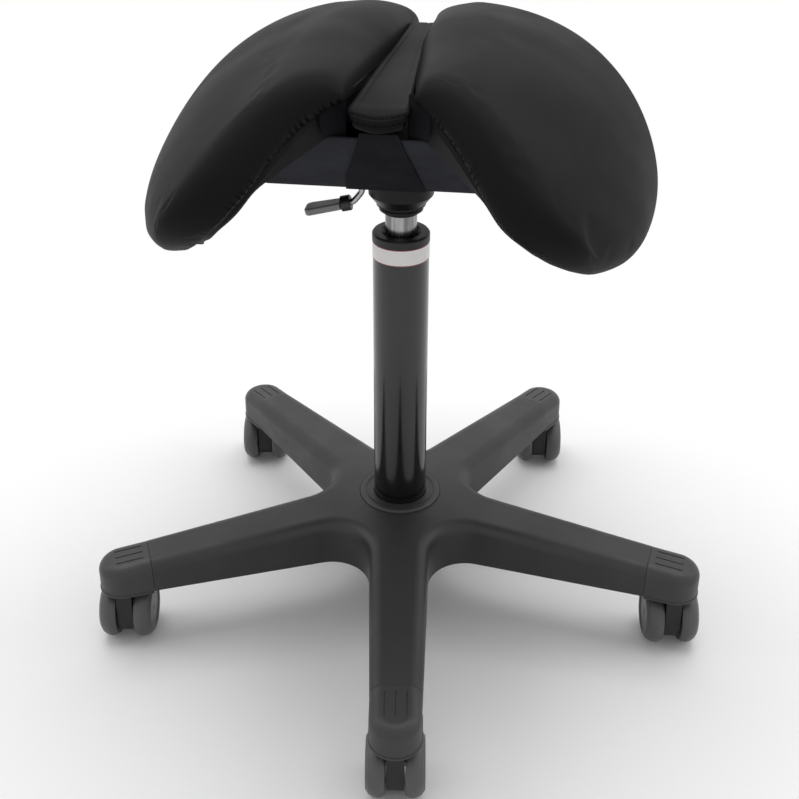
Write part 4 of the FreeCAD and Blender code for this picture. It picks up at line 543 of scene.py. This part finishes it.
def leatherette(name, gathered):
    """Black leatherette. Where it is gathered, creases run up from the foot of the wall: they lie at the
    borders of uneven cells along the outline and fade with the distance up the wall, and painted shade
    darkens their hollows."""
    made, tree, shader, where = new_material(name)
    pores = tree.nodes.new("ShaderNodeGroup")
    pores.node_tree = PORES
    tree.links.new(where, pores.inputs["Vector"])
    colour = two_colours(tree, pores.outputs["Patches"], (0.0112, 0.0112, 0.0116), (0.0130, 0.0130, 0.0134))
    folds = None
    if gathered:
        run = attribute(tree, "outline")
        rise = attribute(tree, "wall")
        cells = tree.nodes.new("ShaderNodeTexVoronoi")
        cells.voronoi_dimensions = "1D"
        cells.feature = "DISTANCE_TO_EDGE"
        cells.inputs["Scale"].default_value = 210.0
        cells.inputs["Randomness"].default_value = 0.75
        tree.links.new(run, cells.inputs["W"])
        fold = ramp(tree, cells.outputs["Distance"], 0.0, 0.3, 1.0, 0.0)
        uneven = tree.nodes.new("ShaderNodeTexNoise")
        uneven.noise_dimensions = "1D"
        uneven.inputs["Scale"].default_value = 45.0
        tree.links.new(run, uneven.inputs["W"])
        deep = ramp(tree, uneven.outputs["Fac"], 0.36, 0.66, 0.25, 1.0)
        high = math_node(tree, "MULTIPLY", deep, 0.016)
        fade = math_node(tree, "SUBTRACT", 1.0, math_node(tree, "DIVIDE", rise, high), clamp=True)
        crease_and_shade = math_node(tree, "MULTIPLY", math_node(tree, "MULTIPLY", fold, fade), deep)
        folds = relief(tree, crease_and_shade, 1.0, 0.0022, hollow=True)
        # Painted shade: the creases' hollows are darkened to near black.
        colour = towards(tree, crease_and_shade, colour, (0.003, 0.003, 0.003))
    tree.links.new(colour, shader.inputs["Base Color"])
    tree.links.new(relief(tree, pores.outputs["Height"], 0.22, 0.00018, folds), shader.inputs["Normal"])
    tree.links.new(ramp(tree, pores.outputs["Patches"], 0, 1, 0.50, 0.44), shader.inputs["Roughness"])
    shader.inputs["Specular IOR Level"].default_value = 0.018
    return made


def puff(made, most, still):
    """Blow a closed mesh up as light cloth under pressure, with some points held still. Each point then
    keeps its move, eased off by a hyperbolic tangent so that it never passes the most that is allowed."""
    mesh = made.data
    count = len(mesh.vertices)
    before = np.empty(count * 3)
    mesh.vertices.foreach_get("co", before)
    cloth = made.modifiers.new("foam", "CLOTH")
    settings = cloth.settings
    settings.quality = 4
    settings.mass = 0.002
    settings.use_pressure = True
    settings.uniform_pressure_force = 4.0
    settings.effector_weights.gravity = 0.0
    settings.tension_stiffness = 25.0
    settings.compression_stiffness = 25.0
    settings.bending_stiffness = 3.0
    cloth.collision_settings.use_self_collision = False
    held = made.vertex_groups.new(name="held")
    held.add(np.flatnonzero(still.ravel()).tolist(), 1.0, "REPLACE")
    settings.vertex_group_mass = "held"
    cloth.point_cache.frame_start = 1
    cloth.point_cache.frame_end = PUFF_FRAMES
    for step in range(1, PUFF_FRAMES + 1):
        bpy.context.scene.frame_set(step)
    shown = made.evaluated_get(bpy.context.evaluated_depsgraph_get()).data
    after = np.empty(count * 3)
    shown.vertices.foreach_get("co", after)
    made.modifiers.remove(cloth)
    made.vertex_groups.clear()
    bpy.context.scene.frame_set(1)
    move = (after - before).reshape(-1, 3)
    size = np.linalg.norm(move, axis=1)[:, None]
    move *= most * np.tanh(size / most) / np.maximum(size, 1e-9)
    mesh.vertices.foreach_set("co", (before.reshape(-1, 3) + move).ravel())
    mesh.update()


COVER_LEATHER = leatherette("gathered leatherette", True)
for name, side in (("left", -1), ("right", 1)):
    points, runs, rises = cushion_grid(side)
    rows, columns = points.shape[:2]
    first_ring = list(range(columns))
    last_ring = list(range((rows - 1) * columns, rows * columns))
    faces = grid_faces(rows, columns, side > 0) + [first_ring[::side], last_ring[::-side]]
    cover = new_piece(f"cushion_cover_{name}", points, faces, COVER_LEATHER)
    float_attribute(cover, "outline", runs + (0.4 if side > 0 else 0.0))
    float_attribute(cover, "wall", np.abs(rises))
    puff(cover, PUFF_MOST, rises < -0.004)
    finer = cover.modifiers.new("finer", "SUBSURF")
    finer.levels = finer.render_levels = 1
    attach(cover, "seat")
    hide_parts(f"cushion_{name}")

# Centre strap: a long tongue of the same leatherette laid over the gap between the halves. Its
# edges are turned under, and its front end is rolled over and sewn down with two rows of stitches.
STRAP_HALF, STRAP_TAPER, STRAP_SAG, STRAP_BULGE = 0.0162, 0.0369, 0.0022, 0.0062
EDGE_ROLL, HEM_IN, HEM_WIDE, HEM_DEEP, STITCH_DEEP = 0.0012, 0.0052, 0.0007, 0.00055, 0.0009
STITCH_ROWS = (0.0172, 0.0225)
STITCH_LENGTH = 0.0042
STRAP_ROUTE = np.array([
    (-0.1470, 0.5360), (-0.1565, 0.5352), (-0.1600, 0.5375), (-0.1603, 0.5430), (-0.1580, 0.5466),
    (-0.1500, 0.5474), (-0.1400, 0.5467), (-0.0600, 0.5428), (0.0100, 0.5387), (0.0900, 0.5343),
    (0.1560, 0.5306), (0.1632, 0.5292), (0.1655, 0.5258), (0.1632, 0.5226), (0.1530, 0.5217)])


def round_corners(route, samples, window_half, sigma):
    """A route of straight runs with its corners rounded by a Gaussian, sampled evenly: gives the distance
    along the runs and the two rounded coordinates."""
    leg = np.hypot(*np.diff(route, axis=0).T)
    length = np.concatenate([[0], np.cumsum(leg)])
    fine = np.linspace(0, length[-1], samples)
    window = np.exp(-0.5 * (np.arange(-window_half, window_half + 1) * fine[1] / sigma) ** 2)
    window /= window.sum()
    line = []
    for axis in (0, 1):
        raw = np.interp(fine, length, route[:, axis])
        padded = np.pad(raw, window_half, mode="reflect", reflect_type="odd")
        line.append(np.convolve(padded, window, "valid"))
    return fine, line


def strap_line(count):
    """The strap's middle line in the seat's Y and Z, with points closer together over the rolled front
    end, which is the first 40 mm."""
    fine, line = round_corners(STRAP_ROUTE, 3000, 60, 0.0016)
    rolled = 0.040
    at = np.concatenate([np.linspace(0, rolled, 61)[:-1], np.linspace(rolled, fine[-1], count - 60)])
    return np.stack([np.interp(at, fine, line[0]), np.interp(at, fine, line[1])], 1), at


def strap_grid(count, across):
    """The strap's upper face: across its width it sags by a cosine arch towards the middle, its front end
    bulges forward by the same arch, and a low ridge runs along each turned edge."""
    line, at = strap_line(count)
    y, z = line[:, :1], line[:, 1:]
    t = np.sin(np.linspace(-1, 1, across) * np.pi / 2)[None, :]
    near_front = np.clip((-0.120 - y) / 0.038, 0, 1) ** 2
    half = STRAP_HALF - STRAP_TAPER * np.clip(y, -0.158, 0.165)
    half = half - 0.0035 * np.clip((-0.1565 - y) / 0.006, 0, 1) ** 2
    low = np.clip((0.5465 - z) / 0.010, 0, 1) * (y < -0.14)
    half = half * (1 - 0.16 * low)
    arch = np.cos(t * np.pi / 2)
    x = half * t + STRAP_ASIDE * np.clip(-y / 0.16, 0, 1)
    hem = np.exp(-0.5 * ((half * (1 - np.abs(t)) - HEM_IN) / HEM_WIDE) ** 2)
    roll = np.sin(np.clip(1 - np.abs(t), 0, 0.12) / 0.12 * np.pi / 2)
    up = EDGE_ROLL * roll - HEM_DEEP * hem * (1 - near_front)
    deeper = -STRAP_SAG * arch * near_front
    tangent = np.gradient(line, axis=0)
    tangent /= np.linalg.norm(tangent, axis=1)[:, None]
    out_y, out_z = -tangent[:, 1:], tangent[:, :1]
    ridges = 0.0
    for row in STITCH_ROWS:
        ridges = ridges - STITCH_DEEP * np.exp(-0.5 * ((at[:, None] - row) / 0.0008) ** 2)
    lift = up + ridges * (np.abs(t) < 0.97)
    yy = y - STRAP_BULGE * arch * near_front + out_y * lift
    zz = z + deeper + out_z * lift
    points = np.stack([x, yy, zz], -1)
    stitch_x = np.broadcast_to(half * t, points.shape[:2])
    return points, np.broadcast_to(at[:, None], points.shape[:2]), stitch_x


def strap_leather():
    """The seat's leatherette with two rows of stitches: short threads between small dark holes."""
    made = leatherette("stitched leatherette", False)
    tree = made.node_tree
    shader = tree.nodes["Principled BSDF"]
    run = attribute(tree, "outline")
    side = attribute(tree, "wall")
    thread = None
    for row in STITCH_ROWS:
        away = math_node(tree, "ABSOLUTE", math_node(tree, "SUBTRACT", run, row))
        near = ramp(tree, away, 0.0003, 0.0007, 1.0, 0.0)
        thread = near if thread is None else math_node(tree, "MAXIMUM", thread, near)
    beat = math_node(tree, "SINE", math_node(tree, "MULTIPLY", side, 2 * math.pi / STITCH_LENGTH))
    hole = math_node(tree, "MULTIPLY", thread, ramp(tree, beat, -0.55, -0.9))
    first = shader.inputs["Base Color"].links[0].from_socket
    tree.links.new(towards(tree, hole, first, (0.0015, 0.0015, 0.0015)), shader.inputs["Base Color"])
    raised = math_node(tree, "MULTIPLY", thread, ramp(tree, beat, -0.7, 0.1))
    under = shader.inputs["Normal"].links[0].from_socket
    tree.links.new(relief(tree, raised, 1.0, 0.0006, under), shader.inputs["Normal"])
    return made


def give_wall(made, name, thickness, offset=-1.0):
    """Give a sheet its thickness, to the inside unless the offset says otherwise."""
    wall = made.modifiers.new(name, "SOLIDIFY")
    wall.thickness = thickness
    wall.offset = offset


points, runs, sides = strap_grid(240, 41)
faces = grid_faces(points.shape[0], points.shape[1], False, closed=False)
strap = new_piece("strap_leather", to_seat(points, 1), faces, strap_leather())
float_attribute(strap, "outline", runs)
float_attribute(strap, "wall", sides)
give_wall(strap, "two layers", 0.0022)
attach(strap, "seat")
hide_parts("centre_strap")
SHELLS = ["seat_shell_left", "seat_shell_right"]

# Dust cover: a tub of dark woven fabric around the mechanism, sewn from a floor and four walls and
# stapled up inside the shells. Its floor has a hole for the housing.
COVER_LOW, COVER_HALF_X, COVER_HALF_Y = 0.452, 0.106, 0.062
FLARE_SIDE, FLARE_FRONT, FLARE_BACK = 0.37, 1.2, 1.63
COVER_HOLE_X, COVER_HOLE_Y = 0.0312, 0.0352
GAP_HALF, GAP_RIM_FRONT, GAP_RIM_BACK = 0.030, 0.072, 0.036
COLUMNS, FLOOR_ROWS, WALL_ROWS = 336, 12, 29
FLOOR_SAG, WALL_WAVE = 0.0012, 0.0007


def plain_weave():
    """Plain weave from two distances along the threads: the sign of a product of sines says which thread
    is on top, and each thread's height is the sine's size."""
    group, given, out = node_group(
        "plain weave", [("Along", "NodeSocketFloat", 0.0), ("Across", "NodeSocketFloat", 0.0),
                        ("Threads per metre", "NodeSocketFloat", 1500.0)],
        [("Height", "NodeSocketFloat"), ("Mask", "NodeSocketFloat")])
    waves = []
    for label in ("Along", "Across"):
        turn_rate = math_node(group, "MULTIPLY", given.outputs["Threads per metre"], math.pi)
        waves.append(math_node(group, "SINE", math_node(group, "MULTIPLY", given.outputs[label], turn_rate)))
    over = ramp(group, math_node(group, "MULTIPLY", waves[0], waves[1]), -0.2, 0.2)
    first = math_node(group, "MULTIPLY", math_node(group, "ABSOLUTE", waves[0]), over)
    other = math_node(group, "SUBTRACT", 1.0, over)
    second = math_node(group, "MULTIPLY", math_node(group, "ABSOLUTE", waves[1]), other)
    group.links.new(math_node(group, "ADD", first, second), out.inputs["Height"])
    group.links.new(over, out.inputs["Mask"])
    return group


WEAVE = plain_weave()


def fabric(name, dark, light, seams):
    """Woven polyester: thread relief, threads of two close tones, slow fading, and a dark groove where the
    attribute "seam", the distance from the nearest seam, is near 0."""
    made, tree, shader, where = new_material(name)
    weave = tree.nodes.new("ShaderNodeGroup")
    weave.node_tree = WEAVE
    tree.links.new(attribute(tree, "along"), weave.inputs["Along"])
    tree.links.new(attribute(tree, "across"), weave.inputs["Across"])
    slow = ramp(tree, noise(tree, where, 26.0, 3.0, 0.6), 0.3, 0.7)
    tone = math_node(tree, "ADD", math_node(tree, "MULTIPLY", weave.outputs["Mask"], 0.35),
                     math_node(tree, "MULTIPLY", slow, 0.65))
    colour = two_colours(tree, tone, dark, light)
    pull = None
    if seams:
        groove = ramp(tree, math_node(tree, "ABSOLUTE", attribute(tree, "seam")), 0.0004, 0.0018, 1.0, 0.0)
        pull = relief(tree, groove, 1.0, 0.0012, hollow=True)
        colour = towards(tree, groove, colour, tuple(value * 0.3 for value in dark))
    tree.links.new(colour, shader.inputs["Base Color"])
    tree.links.new(relief(tree, weave.outputs["Height"], 0.5, 0.00025, pull), shader.inputs["Normal"])
    tree.links.new(ramp(tree, slow, 0, 1, 0.88, 0.78), shader.inputs["Roughness"])
    shader.inputs["Specular IOR Level"].default_value = 0.08
    return made


def shell_tree():
    """The seat shells' surface at rest, for finding where the cover's walls meet it."""
    corners, faces = [], []
    for name in SHELLS:
        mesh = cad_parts[name].data
        at = np.empty(len(mesh.vertices) * 3)
        mesh.vertices.foreach_get("co", at)
        start = len(corners)
        corners += at.reshape(-1, 3).tolist()
        faces += [[start + v for v in face.vertices] for face in mesh.polygons]
    return BVHTree.FromPolygons(corners, faces)


def around(half_x, half_y, count, soft):
    """A closed rectangle of points, evenly spaced, its corners rounded by a circular Gaussian."""
    corner = np.array([(0, -1), (1, -1), (1, 1), (-1, 1), (-1, -1), (0, -1)]) * (half_x, half_y)
    length = np.concatenate([[0], np.cumsum(np.hypot(*np.diff(corner, axis=0).T))])
    at = np.linspace(0, length[-1], count, endpoint=False)
    ring = np.interp(at, length, corner[:, 0]) + 1j * np.interp(at, length, corner[:, 1])
    waves = np.fft.fftfreq(count, length[-1] / count)
    ring = np.fft.ifft(np.fft.fft(ring) * np.exp(-2 * (np.pi * waves * soft) ** 2))
    return np.stack([ring.real, ring.imag], 1), at


def wall_point(ring, rise):
    """A wall's point above the floor's edge: it spreads outwards in proportion to the rise."""
    flare = np.where(ring[:, 1] < 0, FLARE_FRONT, FLARE_BACK)
    x = ring[:, 0] * (1 + FLARE_SIDE * rise / COVER_HALF_X)
    y = ring[:, 1] * (1 + flare * rise / COVER_HALF_Y)
    return np.stack([x, y, COVER_LOW + rise + 0 * x], 1)


def rim_rise(ring):
    """How high each part of the wall goes: to the shells, or to a set height in the gap between them."""
    shells = shell_tree()
    foot, tip = to_seat(wall_point(ring, 0.0), 1), to_seat(wall_point(ring, 0.1), 1)
    rise = np.where(ring[:, 1] < 0, GAP_RIM_FRONT, GAP_RIM_BACK)
    for index in range(len(ring)):
        way = Vector(tip[index] - foot[index])
        hit = shells.ray_cast(Vector(foot[index]), way.normalized(), 0.3)
        if hit[0] is not None:
            found = hit[3] / way.length * 0.1 + 0.0025
            rise[index] = min(rise[index], found) if abs(ring[index, 0]) < GAP_HALF else found
    return rise


ring, length = around(COVER_HALF_X, COVER_HALF_Y, COLUMNS, 0.003)
rise = rim_rise(ring)
window = np.array([1, 4, 6, 4, 1]) / 16
rise = sum(np.roll(rise, shift) * weight for shift, weight in zip(range(-2, 3), window))
hole = ring * (COVER_HOLE_X / COVER_HALF_X, COVER_HOLE_Y / COVER_HALF_Y)
rows = []
for part in np.linspace(0, 1, FLOOR_ROWS + 1)[:-1]:
    flat = hole + (ring - hole) * part
    sag = -FLOOR_SAG * np.sin(np.pi * part) * np.ones(len(ring))
    rows.append(np.stack([flat[:, 0], flat[:, 1], COVER_LOW + sag], 1))
for part in np.linspace(0, 1, WALL_ROWS):
    rows.append(wall_point(ring, rise * part))
points = np.array(rows)
wave = np.sin(length * 95 + 1.3) + 0.6 * np.sin(length * 151 + 0.4)
slack = np.concatenate([np.zeros(FLOOR_ROWS), np.sin(np.linspace(0, 1, WALL_ROWS) * np.pi) ** 2])
outward = np.stack([ring[:, 0] / COVER_HALF_X, ring[:, 1] / COVER_HALF_Y, np.zeros(len(ring))], 1) ** 3
points += WALL_WAVE * slack[:, None, None] * wave[None, :, None] * outward[None]
down = np.concatenate([[0], np.cumsum(np.linalg.norm(np.diff(points, axis=0), axis=2).mean(1))])
faces = grid_faces(points.shape[0], points.shape[1], True)
COVER_FABRIC = fabric("cover weave", (0.0210, 0.0215, 0.0270), (0.0290, 0.0300, 0.0370), True)
cover = new_piece("cover_cloth", to_seat(points, 1), faces, COVER_FABRIC)
shape = points.shape[:2]
float_attribute(cover, "along", np.broadcast_to(length[None, :], shape))
float_attribute(cover, "across", np.broadcast_to(down[:, None], shape))
corner_stops = np.cumsum([COVER_HALF_X, 2 * COVER_HALF_Y, 2 * COVER_HALF_X, 2 * COVER_HALF_Y])
corner_away = np.min([np.abs(length - stop) for stop in corner_stops], axis=0)
edge_away = np.abs(down - down[FLOOR_ROWS])[:, None]
on_floor = np.arange(shape[0])[:, None] < FLOOR_ROWS
float_attribute(cover, "seam", np.minimum(edge_away, np.where(on_floor, 0.02, corner_away[None, :])))
give_wall(cover, "cloth", 0.0012)
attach(cover, "seat")
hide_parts("dust_cover")

# Bands over the shells' front edges: two strips of fabric, one under each cushion, whose darker colour is
# partly their own and partly painted shade under the cushions.
# They are tucked in above the shell's edge, and their foot is sewn to the cover's front wall.
BAND_FOOT_AT, BAND_FOOT = (0.012, 0.040, 0.082), (0.5150, 0.5245, 0.4900)
BAND_TUCK, BAND_BULGE, BAND_GATHER, BAND_SEAM = 0.0125, 0.0022, 0.0007, 0.0405


def band_grid(side):
    """The dark band over a shell's front edge: straight lines from just inside the cushion's foot down
    to the cover's front wall, bulged forward by a sine arch. Its foot is a line of two straight parts."""
    share = np.linspace(-0.06, 0.36, 85)
    origin, along, height = section_frames(share)
    top = origin - along * (half_length(share) - PAD_TUCK - 0.003)[:, None] + height * 0.0012
    top[:, 2] -= BAND_TUCK * np.clip((0.0245 - top[:, 0]) / 0.007, 0, 1)
    x = top[:, 0]
    z = np.interp(x, BAND_FOOT_AT, BAND_FOOT)
    low = np.stack([x, -COVER_HALF_Y - FLARE_FRONT * (z - COVER_LOW) - 0.0012, z], 1)
    part = np.linspace(0, 1, 25)[None, :, None]
    points = top[:, None] * (1 - part) + low[:, None] * part
    points[..., 1] -= BAND_BULGE * np.sin(part[..., 0] * np.pi)
    gather = np.sin(x * 620)[:, None] * (1 - part[..., 0]) ** 3
    points[..., 1] -= BAND_GATHER * gather
    steps = np.linalg.norm(np.diff(points, axis=1), axis=2)
    down = np.concatenate([np.zeros((len(x), 1)), np.cumsum(steps, 1)], 1)
    length = np.concatenate([[0], np.cumsum(np.linalg.norm(np.diff(top, axis=0), axis=1))])
    return to_seat(points, side), np.broadcast_to(length[:, None], down.shape), down, x


# Painted shade: the band's fabric is made darker than the cover's, partly for the shade under the cushions.
BAND_SHADED_FABRIC = fabric("band weave with painted shade", (0.0075, 0.0076, 0.0095), (0.0110, 0.0112, 0.0140), True)
for name, side in (("left", -1), ("right", 1)):
    points, length, down, x = band_grid(side)
    faces = grid_faces(points.shape[0], points.shape[1], side < 0, closed=False)
    band = new_piece(f"cover_band_{name}", points, faces, BAND_SHADED_FABRIC)
    float_attribute(band, "along", length)
    float_attribute(band, "across", down)
    float_attribute(band, "seam", np.broadcast_to((x - BAND_SEAM)[:, None], down.shape))
    give_wall(band, "cloth", 0.0010)
    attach(band, "seat")

# Front flap: a tapering tongue of the same fabric, sewn in under the strap's end. It lies over the
# middle of the cover's front wall, folds under the floor's edge and ends at the housing.
FLAP_ROUTE = np.array([(-0.1590, 0.5325), (-0.1050, 0.4868), (-0.0660, 0.4545), (-0.0618, 0.4508),
                       (-0.0540, 0.4490), (-0.0362, 0.4486)])
FLAP_OFF, FLAP_ARCH = 0.0010, 0.0016


def flap_grid(count, across):
    """The flap: down the front wall, round a soft fold and in under the floor. Its edges run straight
    between the widths at its top, foot and end, and a low arch stands off the wall in its middle."""
    dense, smooth = round_corners(FLAP_ROUTE, 600, 30, 0.0022)
    at = np.linspace(0, dense[-1], count)
    y, z = (np.interp(at, dense, line)[:, None] for line in smooth)
    t = np.linspace(-1, 1, across)[None, :]
    stops = [0, 0.024, 0.104, 0.1277, dense[-1]]
    left = np.interp(at, stops, [-0.0105, -0.0150, -0.0345, -0.0375, -0.0300])[:, None]
    right = np.interp(at, stops, [0.0175, 0.0185, 0.0262, 0.0280, 0.0260])[:, None]
    x = (left + right) / 2 + (right - left) / 2 * t
    front = np.clip((-0.060 - y) / 0.01, 0, 1)
    arch = np.cos(t * np.pi / 2) * np.sin(np.clip(at / 0.115, 0, 1) * np.pi)[:, None]
    off = FLAP_OFF + FLAP_ARCH * arch
    lean = math.hypot(1, FLARE_FRONT)
    points = np.stack([x, y - off / lean * front, z - off * (FLARE_FRONT / lean * front + (1 - front))], -1)
    return points, at, x


points, length, across = flap_grid(90, 41)
faces = grid_faces(points.shape[0], points.shape[1], True, closed=False)
flap = new_piece("flap_cloth", to_seat(points, 1), faces,
                 fabric("flap weave", (0.0060, 0.0062, 0.0088), (0.0090, 0.0092, 0.0125), False))
shape = points.shape[:2]
float_attribute(flap, "along", np.broadcast_to(length[:, None], shape))
float_attribute(flap, "across", across)
give_wall(flap, "cloth", 0.0010, offset=1.0)
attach(flap, "seat")
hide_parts("front_flap")

# Floor, light and camera: a pale floor that fades to white, soft lamps from above and from both
# sides, and the photograph's viewpoint.
FADE_FROM, FADE_TO = 0.38, 0.66


def looked_at(tree):
    """1 for camera, glossy and transmission rays, so that what is seen in gloss and glass is white too."""
    path = tree.nodes.new("ShaderNodeLightPath")
    mirrored = math_node(tree, "MAXIMUM", path.outputs["Is Glossy Ray"], path.outputs["Is Transmission Ray"])
    return math_node(tree, "MAXIMUM", path.outputs["Is Camera Ray"], mirrored)


def backdrop(name, pale):
    """A pale diffuse floor that keeps the shadows and turns to plain white with the distance from the
    object, for the camera, for gloss and for glass."""
    made, tree, shader, where = new_material(name)
    tree.links.new(two_colours(tree, noise(tree, where, 3.0), pale, tuple(v * 1.01 for v in pale)),
                   shader.inputs["Base Color"])
    shader.inputs["Roughness"].default_value = 0.9
    shader.inputs["Specular IOR Level"].default_value = 0.0
    reach = tree.nodes.new("ShaderNodeVectorMath")
    reach.operation = "LENGTH"
    tree.links.new(where, reach.inputs[0])
    glow = tree.nodes.new("ShaderNodeEmission")
    glow.inputs["Color"].default_value = (1, 1, 1, 1)
    glow.inputs["Strength"].default_value = 1.0
    blend_in = tree.nodes.new("ShaderNodeMixShader")
    far = ramp(tree, reach.outputs["Value"], FADE_FROM, FADE_TO)
    tree.links.new(math_node(tree, "MULTIPLY", far, looked_at(tree)), blend_in.inputs["Fac"])
    tree.links.new(shader.outputs["BSDF"], blend_in.inputs[1])
    tree.links.new(glow.outputs["Emission"], blend_in.inputs[2])
    tree.links.new(blend_in.outputs["Shader"], tree.nodes["Material Output"].inputs["Surface"])
    return made


corners = np.array([[-6, -6, 0], [6, -6, 0], [6, 6, 0], [-6, 6, 0]], float)
floor = new_piece("floor", corners, [[0, 1, 2, 3]], backdrop("pale floor", (0.93, 0.93, 0.93)))

world = bpy.data.worlds.new("studio")
bpy.context.scene.world = world
world.use_nodes = True
tree = world.node_tree
tree.nodes.clear()
choice = tree.nodes.new("ShaderNodeMixShader")
tree.links.new(looked_at(tree), choice.inputs["Fac"])
for index, strength in ((1, 0.55), (2, 1.0)):
    glow = tree.nodes.new("ShaderNodeBackground")
    glow.inputs["Color"].default_value = (1, 1, 1, 1)
    glow.inputs["Strength"].default_value = strength
    tree.links.new(glow.outputs["Background"], choice.inputs[index])
tree.links.new(choice.outputs["Shader"], tree.nodes.new("ShaderNodeOutputWorld").inputs["Surface"])


def lamp(name, place, aim, width, height, power):
    """A soft rectangular lamp at a place, pointing at another."""
    light = bpy.data.lights.new(name, "AREA")
    light.shape = "RECTANGLE"
    light.size, light.size_y = width, height
    light.energy = power
    made = bpy.data.objects.new(name, light)
    bpy.context.collection.objects.link(made)
    made.location = place
    facing = np.array(aim, float) - np.array(place, float)
    level = math.hypot(facing[0], facing[1])
    made.rotation_euler = (math.atan2(level, -facing[2]), 0, math.atan2(-facing[0], facing[1]))
    return made


lamp("overhead", (0.0, 0.35, 2.3), (0, 0.05, 0.3), 2.6, 1.6, 34)
lamp("left", (-2.6, 0.2, 1.9), (0, 0, 0.4), 1.2, 1.6, 9)
lamp("right", (2.6, 0.2, 1.9), (0, 0, 0.4), 1.2, 1.6, 9)

IMAGE, SENSOR = 799, 36
FOCAL, MIDDLE_ROW = 1226.8, 313.14
HEADING, DOWN, ROLL = 0.651, 27.385, 0.223
eye = bpy.data.cameras.new("view")
eye.lens = FOCAL / IMAGE * SENSOR
eye.sensor_width = SENSOR
eye.shift_y = (MIDDLE_ROW - IMAGE / 2) / IMAGE
eye.clip_start = 0.05
camera = bpy.data.objects.new("view", eye)
bpy.context.collection.objects.link(camera)
camera.location = (0.01009, -0.98655, 0.8175)
turn = (Matrix.Rotation(math.radians(HEADING), 3, "Z") @ Matrix.Rotation(math.radians(90 - DOWN), 3, "X")
        @ Matrix.Rotation(math.radians(ROLL), 3, "Z"))
camera.rotation_euler = turn.to_euler()
bpy.context.scene.camera = camera
bpy.context.scene.view_settings.view_transform = "Standard"
